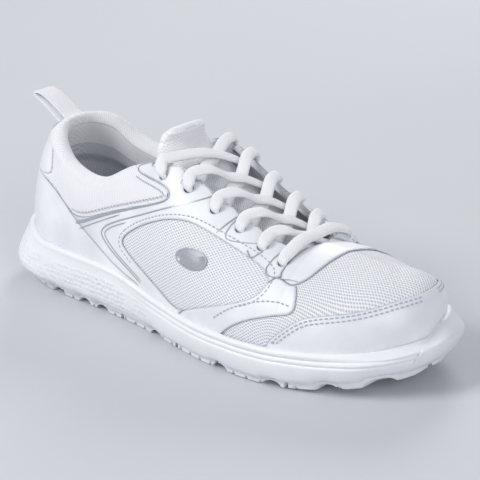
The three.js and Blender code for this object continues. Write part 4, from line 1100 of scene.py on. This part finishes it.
# a padded strip: at each place along the line a flattened loop of points, wide across Y, whose outer half
# follows the crown of the instep and whose inner half lies one thickness below. Its ends round off as a
# quarter circle, and both width and thickness taper there
def makeTongue(name, line, thick, ends, halfWidth, material, corner=0.28, sag=0.0):
    path, run = smoothPath(line, 70)
    ahead = unit(np.gradient(path, axis=0))
    angle = np.linspace(0, 2 * math.pi, 40, endpoint=False)
    flatCos, flatSin = powered(np.cos(angle), 0.5), powered(np.sin(angle), 0.8)
    share = run / run[-1]
    close = np.where(share > 0.5, np.clip((1 - share) / ends[1], 0, 1), np.clip(share / ends[0], 0, 1))
    full = np.sqrt(1 - (1 - close) ** 2) * 0.98 + 0.02
    half = halfWidth(path[:, 0]) * (1 - corner + corner * full)
    blunt = np.sqrt(1 - (1 - np.clip(close * 2.4, 0, 1)) ** 2)
    body = thick(share) * (0.2 + 0.8 * blunt)
    y = half[:, None] * flatCos[None]
    deep = body[:, None] * (1 - flatSin[None]) / 2 + tongue["crown"] * (y / 28) ** 2
    points = np.stack([path[:, 0:1] - ahead[:, 1:2] * deep, y, path[:, 1:2] + ahead[:, 0:1] * deep], -1)
    points[..., 2] -= sag * share[:, None] ** 1.5 * (y / halfWidth(path[:, 0])[:, None]) ** 2
    middles = np.stack([points[0].mean(0), points[-1].mean(0)])
    piece = makeStrip(name, points, middles, run, points[..., 1], material, sharp=60)
    return piece


tongueHalf = lambda x: 22 - 8 * np.clip((x + 20) / 100, 0, 1)
topHalf = lambda x: tongueHalf(x) - 2.5
bodyThick = lambda share: np.full(share.shape, tongue["thick"])
topThick = lambda share: 6.0 + 4.5 * np.sin(math.pi * np.clip(share, 0, 1)) ** 0.7
print("padding the tongue")
tongueBody = makeTongue("tongueBody", tongue["line"], bodyThick, (0.02, 0.02), tongueHalf, "fineMesh")
flex(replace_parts(tongueBody, "tongue_cover", "tongue_foam", "tongue_lining"))
tongueTop = makeTongue("tongueTop", tongue["topLine"], topThick, (0.05, 0.5), topHalf, "collar", 0.6, 5.0)
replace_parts(tongueTop, "tongue_top_cover", "tongue_top_pad")
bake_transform(tongueTop)


# lace
lace = {"cadRadius": 1.8, "clear": 0.45, "halfWidth": 3.45, "halfThick": 1.3, "tail": 15.0, "barLift": 2.4}
laceOver = walls["overlay"] + lace["clear"] + lace["cadRadius"]
layers = walls["mesh"] + walls["lining"] + 3 * walls["gap"]
laceUnder = layers + walls["backing"] + lace["clear"] + lace["cadRadius"]
eyeNormals = {s: skinNormal(eyeletU[s], eyelets[:, 1]) for s in (-1, 1)}
edgePlaces = {s: skinPoint(eyeletU[s], 1.0) for s in (-1, 1)}


# the lace's route, as points above and below the skin: through an eyelet, across to the next one on the
# other side, and its tucked end inside. s is the side, and k counts the eyelets from the toe
def throughEyelet(s, k):
    eye, normal, edge = eyeletPlaces[s][k], eyeNormals[s][k], edgePlaces[s][k]
    inward = (edge - eye) / np.linalg.norm(edge - eye)
    rise = lambda h: eye + normal * h
    return [rise(laceOver) + inward * 2, rise(laceOver - 1.6), rise(-1), rise(1 - laceUnder) + inward * 0.4,
            rise(-laceUnder - 0.7) + inward * 2.4]


def crossing(s, k, upper):
    start = edgePlaces[s][k] + eyeNormals[s][k] * (-laceUnder - 0.2) + np.array([0.25, -s, 0]) * 1.2
    end = edgePlaces[-s][k + 1] + eyeNormals[-s][k + 1] * laceOver
    x = (start[0] + end[0]) / 2
    rising = np.array(tongue["line"][::-1])
    low = float(lineValue(rising, np.array([x]))[0]) + lace["cadRadius"] + 2 * lace["clear"]
    z = low + 2 * lace["cadRadius"] + lace["clear"] if upper else low
    middle = np.array([x, (start[1] + end[1]) / 2, z])
    early, late = start + (middle - start) * 0.55, (middle + end) / 2
    early[2] = start[2] + (z - start[2]) * (0.7 if upper else 0.8)
    late[2] = max(end[2] + 0.2, (z + end[2]) / 2 + 0.6)
    return [start, early, middle, late, end]


def laceTail(s):
    u = eyeletU[s][-1]
    depth = 1.4 + layers + lace["clear"] + 2.2 + 0.6
    start, end = (skinPoint(u, v) - skinNormal(u, v) * depth for v in (0.76, 0.3))
    return [start, start + (end - start) / np.linalg.norm(end - start) * lace["tail"]]


def halfLace(first):
    points, s = [], first
    last = len(eyelets) - 1
    for k in range(last + 1):
        points += throughEyelet(s, k)[1 if k == 0 else 0:]
        if k < last:
            points += crossing(s, k, s == 1)
            s = -s
    return points[:-1] + laceTail(s)


# the whole route: one half reversed, the straight bar over the throat, and the other half
def laceRoute():
    ends = [throughEyelet(s, 0)[0] for s in (-1, 1)]
    middle = (ends[0] + ends[1]) / 2 + [0, 0, 2 * lace["barLift"]]
    lifted = np.array([0, 0, lace["barLift"]])
    bar = [ends[0], (ends[0] + middle) / 2 + lifted, middle, (ends[1] + middle) / 2 + lifted, ends[1]]
    return np.array(halfLace(-1)[::-1] + bar + halfLace(1))


# the woven lace: a flattened oval carried along the route. Its wide axis is the direction along the throat
# with the part along the lace taken off, so it lies flat over the tongue. It narrows where it goes through
# an eyelet
def makeLace(size):
    route, run = smoothPath(laceRoute(), 900)
    ahead = unit(np.gradient(route, axis=0))
    throat = unit(np.array([0.88, 0.0, -0.47]))
    wide = unit(throat - ahead * (ahead @ throat)[:, None])
    for _ in range(6):
        wide = unit(wide * 0.5 + (np.roll(wide, 1, 0) + np.roll(wide, -1, 0)) * 0.25)
    wide = unit(wide - ahead * (ahead * wide).sum(1)[:, None])
    thin = np.cross(ahead, wide)
    angle = np.linspace(0, 2 * math.pi, 16, endpoint=False)
    across, through = powered(np.cos(angle), 0.85), powered(np.sin(angle), 0.85)
    squeeze = smoothStep((eyeletDistance(route) - 1.0) / 4.5)
    halfWide = (size["halfWidth"] - 0.65 + 0.65 * squeeze)[:, None, None]
    halfThick = (size["halfThick"] + 0.25 - 0.25 * squeeze)[:, None, None]
    points = route[:, None] + wide[:, None] * across[None, :, None] * halfWide
    points = points + thin[:, None] * through[None, :, None] * halfThick
    ends = np.vstack([route[:1], route[-1:]])
    piece = makeStrip("plaitedLace", points[:, ::-1], ends, run, across[None, ::-1] * size["halfWidth"],
                      "lace", sharp=60)
    print("lace length", round(float(run[-1])), "mm")
    return flex(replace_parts(piece, "lace"))


print("lacing")
makeLace(lace)


# pull loop: webbing folded on itself, sewn under the heel patch
loop = {"line": [[-114.5, 88.5], [-120, 92], [-126.5, 96], [-132, 99.2], [-136.4, 101.2], [-138.6, 102.8],
                 [-137.4, 104.3], [-133.4, 104.3], [-127.5, 102.4], [-121.6, 99.4], [-116.5, 96.3], [-112, 93.6]],
        "width": 12.5, "wall": 1.3}


# the section is a flat rectangle with its corners taken off, carried along the line square to it
def makeLoop(size):
    path, run = smoothPath(size["line"], 90)
    ahead = unit(np.gradient(path, axis=0))
    normal = np.stack([-ahead[:, 1], ahead[:, 0]], -1)
    half, wall = size["width"] / 2, size["wall"] / 2
    face = [[-half + 0.15, wall * 0.8], [-half + 0.6, wall], [-half * 0.5, wall], [0, wall], [half * 0.5, wall],
            [half - 0.6, wall], [half - 0.15, wall * 0.8]]
    section = np.array([[-half, 0], *face, [half, 0], *[[y, -z] for y, z in face[::-1]]])
    aside = np.broadcast_to(section[:, 0], (len(path), len(section)))
    offset = normal[:, None] * section[None, :, 1:]
    points = np.stack([path[:, 0:1] + offset[..., 0], aside, path[:, 1:2] + offset[..., 1]], -1)
    ends = np.stack([points[0].mean(0), points[-1].mean(0)])
    piece = makeStrip("pullLoop", points, ends, run, section[None, :, 0], "webbing")
    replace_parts(piece, "pull_loop")
    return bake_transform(piece)


makeLoop(loop)


# lines on the skin: prints and stitches
halfRound = np.linspace(0.02, around / 2 - 0.02, 420)
tableU, tableV = np.meshgrid(halfRound, np.linspace(0.02, 1, 60), indexing="ij")
sideTables = {s: skinPoint(tableU if s < 0 else around - tableU, tableV) for s in (-1, 1)}


# where a side-view point lies on the skin: the nearest place of a table, then six steps that solve for u and
# v from the slopes of x and z
def fromSideView(points, s):
    points = np.asarray(points, float)
    table = sideTables[s]
    missX = table[None, ..., 0] - points[:, None, None, 0]
    missZ = table[None, ..., 2] - points[:, None, None, 1]
    nearest = (missX ** 2 + missZ ** 2).reshape(len(points), -1).argmin(1)
    u, v = tableU.ravel()[nearest].copy(), tableV.ravel()[nearest].copy()
    place = lambda uu, vv: skinPoint(uu if s < 0 else around - uu, vv)[..., [0, 2]]
    for _ in range(6):
        miss = points - place(u, v)
        du = (place(u + 0.01, v) - place(u - 0.01, v)) / 0.02
        dv = (place(u, v + 0.005) - place(u, v - 0.005)) / 0.01
        det = du[:, 0] * dv[:, 1] - du[:, 1] * dv[:, 0]
        det = np.where(np.abs(det) < 1e-6, 1e-6, det)
        stepV = (du[:, 0] * miss[:, 1] - du[:, 1] * miss[:, 0]) / det
        u += np.clip((miss[:, 0] * dv[:, 1] - miss[:, 1] * dv[:, 0]) / det, -0.05, 0.05)
        v = np.clip(v + np.clip(stepV, -0.03, 0.03), 0.01, 1)
    return (u if s < 0 else around - u), v


# where the distance field of an outline crosses a level, for each u, by halving v
def alongEdge(field, uValues, level, vLow, vHigh):
    low, high = np.full(uValues.shape, vLow), np.full(uValues.shape, vHigh)
    for _ in range(22):
        v = (low + high) / 2
        inside = field(uValues, v, skinPoint(uValues, v)) < level
        low, high = np.where(inside, v, low), np.where(inside, high, v)
    return uValues, (low + high) / 2


# points of a line over the skin, with the skin's normal and the direction aside, square to the normal and
# the line
def surfaceLine(u, v, height):
    p, normal = onSkin(u, v, height), skinNormal(u, v)
    return p, normal, unit(np.cross(normal, unit(np.gradient(p, axis=0))))


# a thin flat line along a path on the skin: five points across, the outer ones lower so that its edges sit
# on the leather
def printedLine(u, v, width, height):
    p, normal, aside = surfaceLine(u, v, height)
    width = np.broadcast_to(width, u.shape)
    across = np.array([-0.5, -0.42, 0, 0.42, 0.5])
    drop = np.array([-0.14, 0, 0, 0, -0.14])
    spread = aside[:, None] * (across[None, :] * width[:, None])[..., None]
    points = p[:, None] + spread + normal[:, None] * drop[None, :, None]
    return points.reshape(-1, 3), gridFaces(len(u), 5)[:, ::-1]


def joined(parts):
    points, faces, count = [], [], 0
    for p, f in parts:
        points.append(p)
        faces.append(np.where(f >= 0, f + count, -1))
        count += len(p)
    return np.vstack(points), np.vstack(faces)


# stitches: small lozenges laid end to end along a path, each of four rings of four points
def stitches(u, v, height, pitch=2.7, length=1.9, thick=0.36):
    p, normal, aside = surfaceLine(u, v, height)
    run = pathLength(p)
    places = np.arange(pitch / 2, run[-1], pitch)
    pick = lambda a: np.stack([np.interp(places, run, a[:, c]) for c in range(3)], -1)
    centre, n, b = (a[:, None, None] for a in (pick(p), unit(pick(normal)), unit(pick(aside))))
    t = unit(np.cross(b, n))
    along = np.array([-0.5, -0.34, 0.34, 0.5])[None, :, None, None]
    girth = np.array([0.25, 1.0, 1.0, 0.25])[None, :, None, None]
    angle = (np.arange(4) * math.pi / 2)[None, None, :, None]
    ring = (np.cos(angle) * b + np.sin(angle) * n) * thick
    points = centre + t * along * length + ring * girth
    one = np.vstack([gridFaces(4, 4, wrapTall=True), [[0, 1, 2, 3], [15, 14, 13, 12]]])
    faces = (one[None] + (np.arange(len(places)) * 16)[:, None, None]).reshape(-1, 4)
    return points.reshape(-1, 3), faces


# an outline rounded and cut into even steps of about 0.8 mm
def densePath(points, closed=False, rounds=3):
    line = rounded(points, rounds, closed)
    if closed:
        line = np.vstack([line, line[:1]])
    run = pathLength(line)
    even = np.linspace(0, run[-1], max(4, int(run[-1] / 0.8)))
    return np.stack([np.interp(even, run, line[:, 0]), np.interp(even, run, line[:, 1])], -1)


# an outline moved inwards by a distance along the mean of its neighbouring normals
def inset(outline, distance):
    before, after = np.roll(outline, 1, 0), np.roll(outline, -1, 0)
    ahead = unit(after - before)
    area = np.sum(outline[:, 0] * after[:, 1] - after[:, 0] * outline[:, 1])
    return outline + np.stack([-ahead[:, 1], ahead[:, 0]], -1) * distance * (1 if area > 0 else -1)


# silver lines: width, or its stops along the line, then side-view points
prints = {
    "ankleLine": (((0, 2.0), (0.34, 1.3), (0.5, 0.8), (1, 0.55)),
                  [[-72, 49.2], [-62, 53], [-41, 62.2], [-11, 73], [-2, 77], [-0.5, 80], [-5, 83], [-12, 84],
                   [-20, 84.4], [-29, 85.4], [-30, 88], [-22, 91.2], [-12, 92.6]]),
    "ankleCompanion": (0.7, [[-69, 46.6], [-60, 51], [-48, 56.6], [-36, 62]]),
    "sweepOuter": (0.85, [[22, 81.6], [17, 79.5], [7, 76.6], [-8, 70.6], [-15, 67.6], [-44, 55.6], [-51, 50],
                          [-48, 45.4], [-37, 38.5], [-17, 29.4]]),
    "sweepInner": (0.7, [[-30, 59.4], [-43, 53.6], [-48, 49.6], [-45.4, 46.4], [-35.4, 39.6], [-16, 30.8]]),
    "slant": (1.1, [[33, 67], [38.5, 75.5]]),
    "topMark": (0.7, [[12, 87.5], [2, 84.5], [2.5, 87.8], [6, 89.4]]),
}
# brackets beside the first and third eyelets and a small corner mark under the second: kind and size
eyeletMarks = {0: ("bracket", 6.4), 2: ("bracket", 6.0), 1: ("corner", 5.2)}
markShapes = {"bracket": [[-0.1, 0.95], [-0.8, 0.62], [-0.72, -0.75], [0.3, -0.98], [2.2, -1.05]],
              "corner": [[-0.9, -0.35], [-0.05, -1.05], [0.45, -0.35]]}
badgeShape = {"centre": (24, 54), "half": (11, 5), "rings": [1.0, 0.97, 0.86, 0.82, 0.5, 0.02],
              "heights": [-0.1, 0.75, 0.75, 0.5, 0.6, 0.65]}
bandStitches = [[46, 30], [57, 38], [70, 43.5], [80, 45.2], [88, 44.2]]
overlayTop = walls["overlay"] + 0.2


# faces drawn on the outer side, turned over for the inner side
def facing(faces, s):
    return faces if s < 0 else faces[:, ::-1]


def makePrints(sideName, s):
    parts = []
    for width, points in prints.values():
        u, v = fromSideView(densePath(points), s)
        if isinstance(width, tuple):
            width = np.interp(np.linspace(0, 1, len(u)), *zip(*width))
        fromEnd = np.minimum(np.arange(len(u)), np.arange(len(u))[::-1])
        parts.append(printedLine(u, v, width * np.minimum(1, fromEnd / 6 + 0.35), overlayTop))
    for k, (kind, size) in eyeletMarks.items():
        mark = eyeletPlaces[s][k][[0, 2]] + np.array(markShapes[kind]) * size * [1, 0.82]
        u, v = fromSideView(densePath(mark, rounds=1), s)
        taper = np.linspace(1, 0.4, len(u)) if kind == "bracket" else np.ones(len(u))
        parts.append(printedLine(u, v, 0.9 * taper, overlayTop))
    points, faces = joined(parts)
    return flex(makePiece("silverPrint_" + sideName, points, facing(faces, s), "print"))


# plain oval badge: a flat rim and a slightly domed field
def makeBadge(sideName, s, shape):
    angle = np.linspace(0, 2 * math.pi, 72, endpoint=False)[:, None]
    rings = np.array(shape["rings"])
    spots = np.stack([shape["centre"][0] + shape["half"][0] * np.cos(angle) * rings,
                      shape["centre"][1] + shape["half"][1] * np.sin(angle) * rings], -1)
    u, v = fromSideView(spots.reshape(-1, 2), s)
    points = onSkin(u, v, np.broadcast_to(shape["heights"], spots.shape[:2]).ravel())
    faces = gridFaces(*spots.shape[:2], wrapAlong=True)
    badge = makePiece("sideBadge_" + sideName, points, facing(faces, s), "print")
    return flex(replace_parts(badge, "side_badge_" + sideName))


# rows of stitches: round the side window and the ankle panel, along the band, and two rows along the
# mudguard. An outline's row is left out where another panel covers it, which splits it into pieces
def makeStitching(sideName, s):
    rows = []
    window = densePath(inset(outlines["window"], -2.2), True, 1)
    window = window[window[:, 1] > 38 + 0.02 * np.abs(window[:, 0])]
    ankle = densePath(inset(outlines["anklePanel"], 2.4), True, 1)
    ankle = ankle[(ankle[:, 0] > -76) & (ankle[:, 1] < 83.5)]
    for line, height in ((window, walls["overlay"] + 0.05), (ankle, 1.6)):
        breaks = np.where(np.linalg.norm(np.diff(line, axis=0), axis=1) > 3)[0] + 1
        rows += [stitches(*fromSideView(part, s), height) for part in np.split(line, breaks) if len(part) > 8]
    rows.append(stitches(*fromSideView(densePath(bandStitches), s), overlayTop))
    u = np.linspace(9.9, 13.6, 220) if s < 0 else np.linspace(14.4, 18.1, 220)
    for level in (-1.4, -3.2):
        rows.append(stitches(*alongEdge(side("mudguard"), u, level, 0.1, 0.98), overlayTop))
    points, faces = joined(rows)
    return flex(makePiece("stitching_" + sideName, points, faces, "thread", sharp=80))


print("printing and stitching")
for sideName, s in sideSign.items():
    makePrints(sideName, s)
    makeBadge(sideName, s, badgeShape)
    makeStitching(sideName, s)


# inner pieces copied from imported nodes, and the imported nodes that stay
# a copy of an imported node's mesh, with its doubled points joined
def bentCopy(name, node, material):
    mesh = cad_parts[node].data.copy()
    mesh.name = name
    mesh.materials.clear()
    mesh.materials.append(finish[material])
    work = bmesh.new()
    work.from_mesh(mesh)
    bmesh.ops.remove_doubles(work, verts=work.verts, dist=1e-6)
    work.to_mesh(mesh)
    work.free()
    piece = bpy.data.objects.new(name, mesh)
    bpy.context.scene.collection.objects.link(piece)
    return flex(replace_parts(piece, node))


bentCopy("innerBoard", "strobel_board", "board")
bentCopy("eyeletTape_lateral", "eyelet_backing_lateral", "board")
bentCopy("eyeletTape_medial", "eyelet_backing_medial", "board")
keptNodes = {"heel_counter": "stiffener", "toe_puff": "stiffener", "aglet_outer_end": "plastic",
             "aglet_inner_end": "plastic"}
for nodeName, finishName in keptNodes.items():
    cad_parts[nodeName].data.materials.clear()
    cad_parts[nodeName].data.materials.append(finish[finishName])


# floor
# level under the shoe, then curving up behind it: the rise is the square of the distance past the bend
floorShape = {"reach": 3000, "bend": 900, "far": 2600, "curve": 1500, "level": -0.05}


def makeFloor(size):
    x = np.linspace(-size["reach"], size["reach"], 31)
    level = np.linspace(-size["reach"], size["bend"], 20)
    curved = np.linspace(size["bend"] + 100, size["far"], 24)
    y = np.concatenate([level, curved])
    gx, gy = np.meshgrid(x, y, indexing="ij")
    gz = size["level"] + np.maximum(0, gy - size["bend"]) ** 2 / size["curve"]
    mesh = bpy.data.meshes.new("floor")
    points = np.stack([gx, gy, gz], -1).reshape(-1, 3) / 1000
    mesh.from_pydata(points.tolist(), [], gridFaces(*gx.shape).tolist())
    mesh.polygons.foreach_set("use_smooth", np.ones(len(mesh.polygons), bool))
    floor = bpy.data.objects.new("floor", mesh)
    bpy.context.scene.collection.objects.link(floor)
    material, tree, shader = startMaterial("palePaperSweep", 0.85)  # matt paper
    colour = addNode(tree, "ValToRGB", {0: cellsOf(tree, 400)}, [(0.2, "#cdcfd3"), (0.8, "#d2d4d8")])
    dress(tree, shader, colour, cellsOf(tree, 2), 0.05)
    mesh.materials.append(material)


makeFloor(floorShape)
world = bpy.data.worlds.new("softRoom")
world.use_nodes = True
world.node_tree.nodes["Background"].inputs["Color"].default_value = hexColour("#e9ecf2")
world.node_tree.nodes["Background"].inputs["Strength"].default_value = 0.42
bpy.context.scene.world = world
bpy.context.scene.view_settings.view_transform = "Standard"
